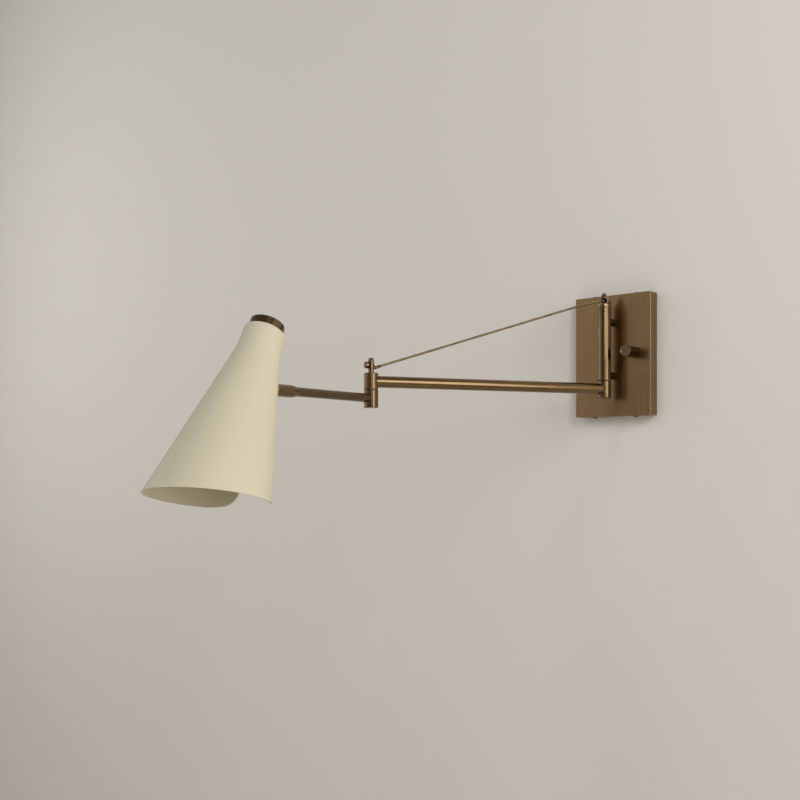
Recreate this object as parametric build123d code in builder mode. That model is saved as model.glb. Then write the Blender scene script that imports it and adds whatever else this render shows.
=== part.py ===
from build123d import *
from math import atan2, cos, radians, sin, tan
import os

# Swing arm wall lamp. Millimetres, +Z up. The origin is the middle of the wall plate's wall face,
# +Y points into the wall and the lamp stands out towards -Y.

# Wall plate and what it covers
PLATE_WIDTH = 114
PLATE_HEIGHT = 165
PLATE_DEPTH = 19
PLATE_WALL = 2
PLATE_EDGE = 1.2
PLATE_SCREW_X = 31.2
PLATE_SCREW_Y = -9.5
PLATE_SCREW_HEAD_R = 3.7
PLATE_SCREW_HEAD = 1.7
PLATE_SCREW_R = 1.95
BRACKET_SHEET = 2
BRACKET_WIDTH = 80
BRACKET_WEB = 32
BRACKET_END = 16
BRACKET_FLANGE = 15
BRACKET_HOLE_R = 11
BRACKET_HOLE_Z = -20
BOX_SCREW_SPACING = 88.9
BOX_SLOT_LENGTH = 12
BOX_SLOT_R = 2.4

# Post and what holds it off the plate
POST_R = 9
POST_GAP = 13
POST_Y = -(PLATE_DEPTH + POST_GAP + POST_R)
POST_BORE_R = 7
POST_TOP = 60.4
POST_FOOT = -34.9
STANDOFF_LEVELS = (44.9, -27.5)
STANDOFF_R = 4.75
NIPPLE_R = 3
NIPPLE_BORE_R = 1.8
ROD_R = 3
RUNNING = 0.05
AXIAL_GAP = 0.2

# Dimmer
KNOB_X = 33
KNOB_Z = 2.7
KNOB_R = 7.8
KNOB_BACK = -20
KNOB_FRONT = -44.5
DIMMER_WIDTH = 24
DIMMER_DEPTH = 13.5
DIMMER_NECK_R = 4.7
SHAFT_R = 3

# Arms
MAIN_ARM_OUT = 60.62
MAIN_ARM_LENGTH = 332.9
MAIN_ARM_Z = -46.65
MAIN_TUBE_R = 7.3
MAIN_TUBE_BORE_R = 5.8
ELBOW_TURN = 31.19
ELBOW_TOP = -36.2
ELBOW_SEAM = -57
ELBOW_FOOT = -79.5
ELBOW_R = 9
PIN_R = 3.65
PIN_TOP = -17
SECOND_ARM_Z = -67.4
SECOND_TUBE_R = 5.45
SECOND_TUBE_BORE_R = 4.25
SECOND_TUBE_END = 146
FERRULE_START = 135
FERRULE_TAPER = 8
FERRULE_R = 7.15
FERRULE_END = 169
TILT_PIVOT = 183.2

# Tension cable: its line falls from the post head to the elbow pin
CABLE_R = 1.4
CABLE_AT_POST = 75.5
CABLE_AT_ELBOW = -31
BALL_R = 2.9
BALL_OUT = 2.2

# Shade, measured along its own axis from the top of its cap
SHADE_ROLL = 3.96
SHADE_TILT = 26.66
SHADE_CROSSING = 211.7
ARM_LEVEL_IN_SHADE = 82
SHEET = 1.2
CAP_R = 19.96
CAP_HEIGHT = 9.75
SHOULDER_R = 4.6
NECK_R = 24.05
FLARE_R = 93
CONE_ANGLE = 12.7
CONE_LEVEL = 52
CONE_R = 27.84
MOUTH_LEVEL = 216.6
MOUTH_SLOPE = 0.29
SLIT_TOP = 50
SLIT_TOP_R = 8.6
SLIT_MOUTH_HALF = 21
SLIT_CORNER_LEVEL = 179
SLIT_CORNER_HALF = 43
SLIT_CORNER_RIM = 202.4
CUP_R = 17.5
CUP_TOP = 15
CUP_MOUTH = 80
LAMP_NIPPLE_R = 4.85
BULB_R = 30
BULB_TIP = 158

os.makedirs("parts", exist_ok=True)


# Frames: the main arm, the second arm, the swivel turned about it and the tilted shade
def heading(angle_out):
    """Level direction that leaves the wall by this angle, towards -X."""
    return Vector(-cos(radians(angle_out)), -sin(radians(angle_out)), 0)


def along_arm(start, direction, roll=0):
    """Plane across an arm: Z along the arm, Y up, X to the arm's right, rolled about the arm."""
    right = Vector(-direction.Y, direction.X, 0)
    turned = right * cos(radians(roll)) + Vector(0, 0, 1) * sin(radians(roll))
    return Plane(origin=start, x_dir=turned, z_dir=direction)


main_way = heading(MAIN_ARM_OUT)
second_way = heading(MAIN_ARM_OUT + ELBOW_TURN)
elbow = Vector(0, POST_Y, 0) + main_way * MAIN_ARM_LENGTH
main_arm = along_arm(Vector(0, POST_Y, MAIN_ARM_Z), main_way)
second_arm = along_arm(elbow + Vector(0, 0, SECOND_ARM_Z), second_way)
swivel = along_arm(second_arm.origin, second_way, SHADE_ROLL)
shade_down = swivel.y_dir * -cos(radians(SHADE_TILT)) + second_way * sin(radians(SHADE_TILT))
shade_frame = Plane(
    origin=swivel.origin + second_way * SHADE_CROSSING - shade_down * ARM_LEVEL_IN_SHADE,
    x_dir=swivel.x_dir,
    z_dir=shade_down,
)
post = Plane(origin=(0, POST_Y, 0), x_dir=(1, 0, 0), z_dir=(0, 0, 1))
elbow_axis = Plane(origin=elbow, x_dir=main_arm.x_dir, z_dir=(0, 0, 1))
knob_axis = Plane(origin=(KNOB_X, 0, KNOB_Z), x_dir=(1, 0, 0), z_dir=(0, -1, 0))


def profile_plane(frame):
    """Plane through a frame's Z axis: X stays the radius, Y runs along the axis."""
    return Plane(origin=frame.origin, x_dir=frame.x_dir, z_dir=-frame.y_dir)


def side_plane(frame):
    """Plane square to a frame's X axis: X runs along the frame's Y, Y along its Z."""
    return Plane(origin=frame.origin, x_dir=frame.y_dir, z_dir=frame.x_dir)


def spin_axis(frame):
    return Axis(frame.origin, frame.z_dir)


def outline(plane, *corners):
    """Closed straight-sided face on a plane."""
    with BuildSketch(plane) as face:
        with BuildLine():
            Polyline(*corners, close=True)
        make_face()
    return face.sketch


def turned(frame, *corners):
    """Face to be turned about a frame's Z axis, its corners given as radius and level."""
    return outline(profile_plane(frame), *corners)


def dome_arc(rim_r, rim_level, top):
    """Arc of a ball centred on the axis, from a rim up to the pole."""
    rise = top - rim_level
    ball_r = (rim_r**2 + rise**2) / (2 * rise)
    half = atan2(rim_r, ball_r - rise) / 2
    return ThreePointArc((rim_r, rim_level), (ball_r * sin(half), top - ball_r * (1 - cos(half))), (0, top))


def tube_wall(frame, outer, inner, low, high):
    return turned(frame, (inner, low), (outer, low), (outer, high), (inner, high))


# Mounting bracket: a steel sheet, waisted beside the dimmer, with a flange bent out at each end and a
# hole for the house wires below the middle
bracket_half = PLATE_HEIGHT / 2 - PLATE_WALL - 0.4
with BuildPart() as mounting_bracket:
    with BuildSketch(Plane.XZ) as bracket_outline:
        Rectangle(BRACKET_WEB, 2 * bracket_half)
        with Locations((0, bracket_half - BRACKET_END / 2), (0, BRACKET_END / 2 - bracket_half)):
            Rectangle(BRACKET_WIDTH, BRACKET_END)
        waist = bracket_outline.vertices().filter_by_position(Axis.X, -BRACKET_WEB / 2, BRACKET_WEB / 2)
        fillet(waist, 5)
        with Locations((0, BRACKET_HOLE_Z)):
            Circle(BRACKET_HOLE_R, mode=Mode.SUBTRACT)
        with GridLocations(0, BOX_SCREW_SPACING, 1, 2):
            SlotOverall(BOX_SLOT_LENGTH, 2 * BOX_SLOT_R, rotation=90, mode=Mode.SUBTRACT)
    extrude(amount=BRACKET_SHEET)
    for side in (1, -1):
        flange_middle = side * (bracket_half - BRACKET_SHEET / 2)
        with BuildSketch(Plane.XY.offset(flange_middle - BRACKET_SHEET / 2)):
            with Locations((0, -BRACKET_FLANGE / 2)):
                Rectangle(BRACKET_WIDTH, BRACKET_FLANGE)
            with Locations((PLATE_SCREW_X, PLATE_SCREW_Y), (-PLATE_SCREW_X, PLATE_SCREW_Y)):
                Circle(PLATE_SCREW_R + RUNNING, mode=Mode.SUBTRACT)
        extrude(amount=BRACKET_SHEET)
mounting_bracket.part.label = "mounting_bracket"
export_step(mounting_bracket.part, "parts/mounting_bracket.step")

# Ground screw: slotted round head and washer on the bracket's web
GROUND_X = -9
GROUND_Z = 26
GROUND_WASHER_R = 4.5
GROUND_HEAD_R = 3.8
GROUND_HEAD = 3.2
WASHER = 0.8
DRIVER_SLOT = 1
ground_spot = Plane(origin=(GROUND_X, -BRACKET_SHEET, GROUND_Z), x_dir=(1, 0, 0), z_dir=(0, -1, 0))
with BuildPart() as ground_screw:
    revolve(
        turned(
            ground_spot,
            (0, 0),
            (GROUND_WASHER_R, 0),
            (GROUND_WASHER_R, WASHER),
            (GROUND_HEAD_R, WASHER),
            (GROUND_HEAD_R, GROUND_HEAD - 0.6),
            (GROUND_HEAD_R - 0.6, GROUND_HEAD),
            (0, GROUND_HEAD),
        ),
        axis=spin_axis(ground_spot),
    )
    with BuildSketch(ground_spot.offset(GROUND_HEAD - DRIVER_SLOT)):
        Rectangle(2 * GROUND_WASHER_R, DRIVER_SLOT)
    extrude(amount=GROUND_HEAD, mode=Mode.SUBTRACT)
ground_screw.part.label = "ground_screw"
export_step(ground_screw.part, "parts/ground_screw.step")

# Wall plate: a pan with a flat face, four walls and soft edges, open towards the wall
with BuildPart() as backplate:
    with BuildSketch(Plane.XZ):
        Rectangle(PLATE_WIDTH, PLATE_HEIGHT)
    extrude(amount=PLATE_DEPTH)
    fillet(backplate.edges().filter_by(Axis.Y), PLATE_EDGE)
    fillet(backplate.faces().sort_by(Axis.Y)[0].edges(), PLATE_EDGE / 2)
    with BuildSketch(Plane.XZ):
        Rectangle(PLATE_WIDTH - 2 * PLATE_WALL, PLATE_HEIGHT - 2 * PLATE_WALL)
    extrude(amount=PLATE_DEPTH - PLATE_WALL, mode=Mode.SUBTRACT)
    with BuildSketch(Plane.XZ.offset(PLATE_DEPTH - PLATE_WALL)):
        with Locations(*[(0, level) for level in STANDOFF_LEVELS]):
            Circle(NIPPLE_R + RUNNING)
        with Locations((KNOB_X, KNOB_Z)):
            Circle(DIMMER_NECK_R + RUNNING)
    extrude(amount=PLATE_WALL, mode=Mode.SUBTRACT)
    with BuildSketch(Plane.XY.offset(-PLATE_HEIGHT / 2)):
        with Locations((PLATE_SCREW_X, PLATE_SCREW_Y), (-PLATE_SCREW_X, PLATE_SCREW_Y)):
            Circle(PLATE_SCREW_R + RUNNING)
    extrude(amount=PLATE_HEIGHT, mode=Mode.SUBTRACT)
backplate.part.label = "backplate"
export_step(backplate.part, "parts/backplate.step")

# Plate screws: round slotted heads under and over the pan, threaded into the bracket's flanges
screw_tail = -PLATE_WALL - BRACKET_SHEET - 1
with BuildPart() as plate_screws:
    for side in (1, -1):
        for x in (PLATE_SCREW_X, -PLATE_SCREW_X):
            spot = Plane(
                origin=(x, PLATE_SCREW_Y, side * PLATE_HEIGHT / 2), x_dir=(1, 0, 0), z_dir=(0, 0, side)
            )
            revolve(
                turned(
                    spot,
                    (0, screw_tail),
                    (PLATE_SCREW_R, screw_tail),
                    (PLATE_SCREW_R, 0),
                    (PLATE_SCREW_HEAD_R, 0),
                    (PLATE_SCREW_HEAD_R, PLATE_SCREW_HEAD - 0.6),
                    (PLATE_SCREW_HEAD_R - 0.7, PLATE_SCREW_HEAD),
                    (0, PLATE_SCREW_HEAD),
                ),
                axis=spin_axis(spot),
            )
            with BuildSketch(spot.offset(PLATE_SCREW_HEAD - DRIVER_SLOT)):
                Rectangle(2 * PLATE_SCREW_HEAD_R + 1, DRIVER_SLOT)
            extrude(amount=PLATE_SCREW_HEAD, mode=Mode.SUBTRACT)
plate_screws.part.label = "plate_screws"
export_step(plate_screws.part, "parts/plate_screws.step")

# Standoffs: brass collars whose outer ends are saddles on the round post
with BuildPart() as standoffs:
    with BuildSketch(Plane.XZ.offset(PLATE_DEPTH)):
        for level in STANDOFF_LEVELS:
            with Locations((0, level)):
                Circle(STANDOFF_R)
                Circle(NIPPLE_R + RUNNING, mode=Mode.SUBTRACT)
    extrude(amount=POST_GAP + POST_R)
    with BuildSketch(post.offset(-PLATE_HEIGHT / 2)):
        Circle(POST_R)
    extrude(amount=PLATE_HEIGHT, mode=Mode.SUBTRACT)
    chamfer(standoffs.edges().group_by(Axis.Y)[-1].filter_by(lambda rim: rim.radius > NIPPLE_R + 1), 0.4)
standoffs.part.label = "standoffs"
export_step(standoffs.part, "parts/standoffs.step")

# Hollow nipples: threaded tubes from inside the plate, through the standoffs, into the post
NIPPLE_TAIL = PLATE_DEPTH - PLATE_WALL - 6
NIPPLE_TIP = -POST_Y - POST_BORE_R - 0.8
with BuildPart() as standoff_nipples:
    with BuildSketch(Plane.XZ.offset(NIPPLE_TAIL)):
        for level in STANDOFF_LEVELS:
            with Locations((0, level)):
                Circle(NIPPLE_R)
                Circle(NIPPLE_BORE_R, mode=Mode.SUBTRACT)
    extrude(amount=NIPPLE_TIP - NIPPLE_TAIL)
standoff_nipples.part.label = "standoff_nipples"
export_step(standoff_nipples.part, "parts/standoff_nipples.step")

# Lock washers and hexagon nuts that pull the nipples tight from inside the plate
WASHER_R = 5.6
with BuildPart() as lock_washers:
    with BuildSketch(Plane.XZ.offset(PLATE_DEPTH - PLATE_WALL - WASHER)):
        for level in STANDOFF_LEVELS:
            with Locations((0, level)):
                Circle(WASHER_R)
                Circle(NIPPLE_R + RUNNING, mode=Mode.SUBTRACT)
    extrude(amount=WASHER)
lock_washers.part.label = "lock_washers"
export_step(lock_washers.part, "parts/lock_washers.step")

NUT = 3.6
NUT_R = 5.8
with BuildPart() as standoff_nuts:
    with BuildSketch(Plane.XZ.offset(PLATE_DEPTH - PLATE_WALL - WASHER - NUT)):
        for level in STANDOFF_LEVELS:
            with Locations((0, level)):
                RegularPolygon(NUT_R, 6)
                Circle(NIPPLE_R + RUNNING, mode=Mode.SUBTRACT)
    extrude(amount=NUT)
standoff_nuts.part.label = "standoff_nuts"
export_step(standoff_nuts.part, "parts/standoff_nuts.step")

# Post: a plain tube with two holes in its back for the nipples
with BuildPart() as post_tube:
    revolve(tube_wall(post, POST_R, POST_BORE_R, POST_FOOT, POST_TOP), axis=spin_axis(post))
    with BuildSketch(Plane.XZ.offset(-POST_Y - POST_R)):
        with Locations(*[(0, level) for level in STANDOFF_LEVELS]):
            Circle(NIPPLE_R + RUNNING)
    extrude(amount=POST_R, mode=Mode.SUBTRACT)
post_tube.part.label = "post_tube"
export_step(post_tube.part, "parts/post_tube.step")

# Top bush: a collar the size of the post, its spigot pressed into the tube, for the pivot rod
HEAD_SEAM = 63.4
SPIGOT = 12
with BuildPart() as post_top_bush:
    revolve(
        turned(
            post,
            (ROD_R + RUNNING, POST_TOP - SPIGOT),
            (POST_BORE_R, POST_TOP - SPIGOT),
            (POST_BORE_R, POST_TOP),
            (POST_R - 0.25, POST_TOP),
            (POST_R, POST_TOP + 0.3),
            (POST_R, HEAD_SEAM - 0.4),
            (POST_R - 0.4, HEAD_SEAM),
            (ROD_R + RUNNING, HEAD_SEAM),
        ),
        axis=spin_axis(post),
    )
post_top_bush.part.label = "post_top_bush"
export_step(post_top_bush.part, "parts/post_top_bush.step")

# Bottom bush: a short spigot in the tube and a thin dark flange that the knuckle turns under
BUSH_FLANGE = 0.8
BUSH_SPIGOT = 3.6
with BuildPart() as post_bottom_bush:
    revolve(
        turned(
            post,
            (ROD_R + RUNNING, POST_FOOT - BUSH_FLANGE),
            (POST_R - 0.6, POST_FOOT - BUSH_FLANGE),
            (POST_R - 0.6, POST_FOOT),
            (POST_BORE_R, POST_FOOT),
            (POST_BORE_R, POST_FOOT + BUSH_SPIGOT),
            (ROD_R + RUNNING, POST_FOOT + BUSH_SPIGOT),
        ),
        axis=spin_axis(post),
    )
post_bottom_bush.part.label = "post_bottom_bush"
export_step(post_bottom_bush.part, "parts/post_bottom_bush.step")

# Dimmer: a small housing behind the face, with a threaded neck through it
NECK_END = PLATE_DEPTH + 4.2
dimmer_back = PLATE_DEPTH - PLATE_WALL - DIMMER_DEPTH
SHAFT_WELL = 6
with BuildPart() as dimmer_body:
    with BuildSketch(knob_axis.offset(dimmer_back)):
        RectangleRounded(DIMMER_WIDTH, DIMMER_WIDTH, 2)
    extrude(amount=DIMMER_DEPTH)
    with BuildSketch(knob_axis.offset(PLATE_DEPTH - PLATE_WALL)):
        Circle(DIMMER_NECK_R)
    extrude(amount=NECK_END - PLATE_DEPTH + PLATE_WALL)
    with BuildSketch(knob_axis.offset(dimmer_back + SHAFT_WELL)):
        Circle(SHAFT_R + RUNNING)
    extrude(amount=NECK_END, mode=Mode.SUBTRACT)
dimmer_body.part.label = "dimmer_body"
export_step(dimmer_body.part, "parts/dimmer_body.step")

# Ring nut that holds the dimmer's neck against the face, hidden in the knob's back
RING_NUT_R = 5.7
RING_NUT = 2.2
with BuildPart() as dimmer_ring_nut:
    with BuildSketch(knob_axis.offset(PLATE_DEPTH)):
        Circle(RING_NUT_R)
        Circle(DIMMER_NECK_R + RUNNING, mode=Mode.SUBTRACT)
        with PolarLocations(RING_NUT_R, 2):
            Rectangle(1.6, 1.4, mode=Mode.SUBTRACT)
    extrude(amount=RING_NUT)
dimmer_ring_nut.part.label = "dimmer_ring_nut"
export_step(dimmer_ring_nut.part, "parts/dimmer_ring_nut.step")

# Dimmer shaft and knob: the knob is a plain cylinder with a shallow dished face in a thin rim
SHAFT_TIP = -KNOB_FRONT - 3.5
shaft_tail = dimmer_back + SHAFT_WELL + 0.4
with BuildPart() as dimmer_shaft:
    with BuildSketch(knob_axis.offset(shaft_tail)):
        Circle(SHAFT_R)
    extrude(amount=SHAFT_TIP - shaft_tail)
dimmer_shaft.part.label = "dimmer_shaft"
export_step(dimmer_shaft.part, "parts/dimmer_shaft.step")

KNOB_RECESS_R = 6.3
KNOB_RECESS_END = NECK_END + 0.6
KNOB_RIM = 1.1
KNOB_DISH = 0.5
SET_SCREW_R = 1.5
with BuildPart() as knob:
    revolve(
        turned(
            knob_axis,
            (KNOB_RECESS_R, -KNOB_BACK),
            (KNOB_R - 0.3, -KNOB_BACK),
            (KNOB_R, -KNOB_BACK + 0.3),
            (KNOB_R, -KNOB_FRONT - 0.5),
            (KNOB_R - 0.5, -KNOB_FRONT),
            (KNOB_R - KNOB_RIM, -KNOB_FRONT),
            (KNOB_R - KNOB_RIM - 0.4, -KNOB_FRONT - KNOB_DISH),
            (0, -KNOB_FRONT - KNOB_DISH),
            (0, SHAFT_TIP),
            (SHAFT_R, SHAFT_TIP),
            (SHAFT_R, KNOB_RECESS_END),
            (KNOB_RECESS_R, KNOB_RECESS_END),
        ),
        axis=spin_axis(knob_axis),
    )
    set_screw_spot = Plane(
        origin=(KNOB_X, (NECK_END - KNOB_FRONT) / -2, KNOB_Z), x_dir=(1, 0, 0), z_dir=(0, 0, -1)
    )
    with BuildSketch(set_screw_spot.offset(SHAFT_R)):
        Circle(SET_SCREW_R)
    extrude(amount=KNOB_R, mode=Mode.SUBTRACT)
knob.part.label = "knob"
export_step(knob.part, "parts/knob.step")

# Set screw: a headless screw with a hexagon socket, in the underside of the knob
SOCKET_R = 0.8
with BuildPart() as knob_set_screw:
    with BuildSketch(set_screw_spot.offset(SHAFT_R)):
        Circle(SET_SCREW_R)
    extrude(amount=KNOB_R - SHAFT_R - 0.8)
    with BuildSketch(set_screw_spot.offset(KNOB_R - 2.2)):
        RegularPolygon(SOCKET_R, 6)
    extrude(amount=KNOB_R, mode=Mode.SUBTRACT)
knob_set_screw.part.label = "knob_set_screw"
export_step(knob_set_screw.part, "parts/knob_set_screw.step")

# Post knuckle: a turned sleeve under the post, bored out below its top web for the wires
KNUCKLE_TOP = POST_FOOT - BUSH_FLANGE - AXIAL_GAP
KNUCKLE_FOOT = -54.4
CHAMBER_R = 6
WEB = 3
with BuildPart() as post_knuckle:
    revolve(
        turned(
            post,
            (ROD_R, KNUCKLE_TOP),
            (POST_R - 0.3, KNUCKLE_TOP),
            (POST_R, KNUCKLE_TOP - 0.3),
            (POST_R, KNUCKLE_FOOT),
            (CHAMBER_R, KNUCKLE_FOOT),
            (CHAMBER_R, KNUCKLE_TOP - WEB),
            (ROD_R, KNUCKLE_TOP - WEB),
        ),
        axis=spin_axis(post),
    )
    with BuildSketch(main_arm):
        Circle(MAIN_TUBE_BORE_R - 1)
    extrude(amount=POST_R + 1, mode=Mode.SUBTRACT)
post_knuckle.part.label = "post_knuckle"
export_step(post_knuckle.part, "parts/post_knuckle.step")

# Bottom cap: closes the knuckle, with a fine groove where they meet and a bevelled foot
CAP_FOOT = -59.5
ROD_FOOT = -57
with BuildPart() as post_bottom_cap:
    revolve(
        turned(
            post,
            (0, CAP_FOOT),
            (POST_R - 1.5, CAP_FOOT),
            (POST_R, CAP_FOOT + 1.4),
            (POST_R, KNUCKLE_FOOT - 0.25),
            (POST_R - 0.25, KNUCKLE_FOOT),
            (CHAMBER_R, KNUCKLE_FOOT),
            (CHAMBER_R, KNUCKLE_FOOT + 1.5),
            (ROD_R, KNUCKLE_FOOT + 1.5),
            (ROD_R, ROD_FOOT),
            (0, ROD_FOOT),
        ),
        axis=spin_axis(post),
    )
post_bottom_cap.part.label = "post_bottom_cap"
export_step(post_bottom_cap.part, "parts/post_bottom_cap.step")

# Pivot rod: joins the cap, the knuckle and the cable head, and turns in the two bushes
ROD_TOP = 68.4
with BuildPart() as pivot_rod:
    with BuildSketch(post.offset(ROD_FOOT)):
        Circle(ROD_R)
    extrude(amount=ROD_TOP - ROD_FOOT)
pivot_rod.part.label = "pivot_rod"
export_step(pivot_rod.part, "parts/pivot_rod.step")

# Cable head: a flange and a domed eye with two flat cheeks and a round window for the cable's ball
HEAD_FOOT = HEAD_SEAM + AXIAL_GAP
HEAD_FLANGE_TOP = 67.8
HEAD_TOP = 82.5
HEAD_R = 6.4
HEAD_CHEEK = 4.2
HEAD_SHOULDER = 74.8
HEAD_DOME_R = 3.4
HEAD_DOME = 2
LOCK_HEAD_R = 3.6
LOCK_SEAT = 5.7
LOCK_R = 1.5
LOCK_TIP = 2.2
LOCK_LEVEL = 72.2
LOCK_HEAD_END = 8.7
CABLE_FALL = (CABLE_AT_POST - CABLE_AT_ELBOW) / MAIN_ARM_LENGTH
head = Plane(origin=(0, POST_Y, 0), x_dir=main_way, z_dir=(0, 0, 1))
cable_way = (main_way - Vector(0, 0, 1) * CABLE_FALL).normalized()
ball_spot = Vector(0, POST_Y, CABLE_AT_POST) + (main_way - Vector(0, 0, 1) * CABLE_FALL) * BALL_OUT
window = Plane(origin=ball_spot, x_dir=main_way, z_dir=main_arm.x_dir)
cable = Plane(origin=ball_spot, x_dir=main_arm.x_dir, z_dir=cable_way)
lock_spot = Plane(origin=(0, POST_Y, LOCK_LEVEL), x_dir=main_arm.x_dir, z_dir=-main_way)
WINDOW_R = 3.3
with BuildPart() as cable_head:
    with BuildSketch(profile_plane(head)):
        with BuildLine():
            Polyline((0, HEAD_FLANGE_TOP - 1), (HEAD_R, HEAD_FLANGE_TOP - 1), (HEAD_R, HEAD_SHOULDER))
            Line((HEAD_R, HEAD_SHOULDER), (HEAD_DOME_R, HEAD_TOP - HEAD_DOME))
            dome_arc(HEAD_DOME_R, HEAD_TOP - HEAD_DOME, HEAD_TOP)
            Line((0, HEAD_TOP), (0, HEAD_FLANGE_TOP - 1))
        make_face()
    revolve(axis=spin_axis(head))
    with BuildSketch(side_plane(head)):
        with Locations((HEAD_CHEEK + HEAD_R, HEAD_TOP), (-HEAD_CHEEK - HEAD_R, HEAD_TOP)):
            Rectangle(2 * HEAD_R, 2 * (HEAD_TOP - HEAD_FLANGE_TOP))
    extrude(amount=2 * HEAD_R, both=True, mode=Mode.SUBTRACT)
    revolve(
        turned(
            head,
            (0, HEAD_FOOT),
            (POST_R - 0.8, HEAD_FOOT),
            (POST_R - 0.4, HEAD_FOOT + 0.4),
            (POST_R - 0.4, HEAD_FLANGE_TOP - 0.6),
            (POST_R - 1, HEAD_FLANGE_TOP),
            (0, HEAD_FLANGE_TOP),
        ),
        axis=spin_axis(head),
    )
    with BuildSketch(window):
        Circle(WINDOW_R)
    extrude(amount=HEAD_R, both=True, mode=Mode.SUBTRACT)
    with BuildSketch(cable):
        Circle(CABLE_R + 0.2)
    extrude(amount=2 * HEAD_R, mode=Mode.SUBTRACT)
    with BuildSketch(head.offset(HEAD_FOOT)):
        Circle(ROD_R)
    extrude(amount=ROD_TOP - HEAD_FOOT, mode=Mode.SUBTRACT)
    with BuildSketch(lock_spot.offset(LOCK_TIP - 0.2)):
        Circle(LOCK_R)
    extrude(amount=HEAD_R, mode=Mode.SUBTRACT)
    with BuildSketch(lock_spot.offset(LOCK_SEAT)):
        Circle(LOCK_HEAD_R)
    extrude(amount=HEAD_R, mode=Mode.SUBTRACT)
cable_head.part.label = "cable_head"
export_step(cable_head.part, "parts/cable_head.step")

# Lock screw: a round thumb head behind the eye, its shank set against the ball
with BuildPart() as head_lock_screw:
    revolve(
        turned(
            lock_spot,
            (0, LOCK_TIP),
            (LOCK_R, LOCK_TIP),
            (LOCK_R, LOCK_SEAT),
            (LOCK_HEAD_R, LOCK_SEAT),
            (LOCK_HEAD_R, LOCK_HEAD_END - 0.4),
            (LOCK_HEAD_R - 0.4, LOCK_HEAD_END),
            (0, LOCK_HEAD_END),
        ),
        axis=spin_axis(lock_spot),
    )
head_lock_screw.part.label = "head_lock_screw"
export_step(head_lock_screw.part, "parts/head_lock_screw.step")

# Cable ball: swaged on the cable's upper end, with a short neck
with BuildPart() as cable_ball:
    with BuildSketch(profile_plane(cable)):
        with BuildLine():
            CenterArc((0, 0), BALL_R, -90, 180)
            Line((0, BALL_R), (0, -BALL_R))
        make_face()
    revolve(axis=spin_axis(cable))
cable_ball.part.label = "cable_ball"
export_step(cable_ball.part, "parts/cable_ball.step")

# Tension cable: a straight wire rope from the ball to the elbow pin, pulled tight
cable_end = elbow + Vector(0, 0, CABLE_AT_ELBOW)
CABLE_LENGTH = (cable_end - ball_spot).length
with BuildPart() as tension_cable:
    with BuildSketch(cable.offset(BALL_R - 0.2)):
        Circle(CABLE_R)
    extrude(amount=CABLE_LENGTH - BALL_R - 0.8)
    with BuildSketch(profile_plane(cable)):
        with BuildLine():
            CenterArc((0, 0), BALL_R, -90, 180)
            Line((0, BALL_R), (0, -BALL_R))
        make_face()
    revolve(axis=spin_axis(cable), mode=Mode.SUBTRACT)
tension_cable.part.label = "tension_cable"
export_step(tension_cable.part, "parts/tension_cable.step")

# Main arm: a tube coped to the round knuckles at both ends
with BuildPart() as main_arm_tube:
    with BuildSketch(main_arm):
        Circle(MAIN_TUBE_R)
        Circle(MAIN_TUBE_BORE_R, mode=Mode.SUBTRACT)
    extrude(amount=MAIN_ARM_LENGTH)
    with BuildSketch(post.offset(MAIN_ARM_Z)):
        Circle(POST_R)
    extrude(amount=2 * MAIN_TUBE_R, both=True, mode=Mode.SUBTRACT)
    with BuildSketch(elbow_axis.offset(MAIN_ARM_Z)):
        Circle(ELBOW_R)
    extrude(amount=2 * MAIN_TUBE_R, both=True, mode=Mode.SUBTRACT)
main_arm_tube.part.label = "main_arm_tube"
export_step(main_arm_tube.part, "parts/main_arm_tube.step")

# Elbow, upper half: a sleeve brazed to the main arm, pressed on the pin
ELBOW_WASHER = 0.7
UPPER_FOOT = ELBOW_SEAM + 0.4
with BuildPart() as elbow_upper_knuckle:
    revolve(
        turned(
            elbow_axis,
            (PIN_R, UPPER_FOOT),
            (ELBOW_R - 0.3, UPPER_FOOT),
            (ELBOW_R, UPPER_FOOT + 0.3),
            (ELBOW_R, ELBOW_TOP - 0.5),
            (ELBOW_R - 0.5, ELBOW_TOP),
            (PIN_R, ELBOW_TOP),
            (PIN_R, ELBOW_TOP - WEB),
            (CHAMBER_R, ELBOW_TOP - WEB),
            (CHAMBER_R, UPPER_FOOT + WEB),
            (PIN_R, UPPER_FOOT + WEB),
        ),
        axis=spin_axis(elbow_axis),
    )
    with BuildSketch(main_arm.offset(MAIN_ARM_LENGTH - ELBOW_R - 1)):
        Circle(MAIN_TUBE_BORE_R - 1)
    extrude(amount=ELBOW_R - PIN_R, mode=Mode.SUBTRACT)
elbow_upper_knuckle.part.label = "elbow_upper_knuckle"
export_step(elbow_upper_knuckle.part, "parts/elbow_upper_knuckle.step")

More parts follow.
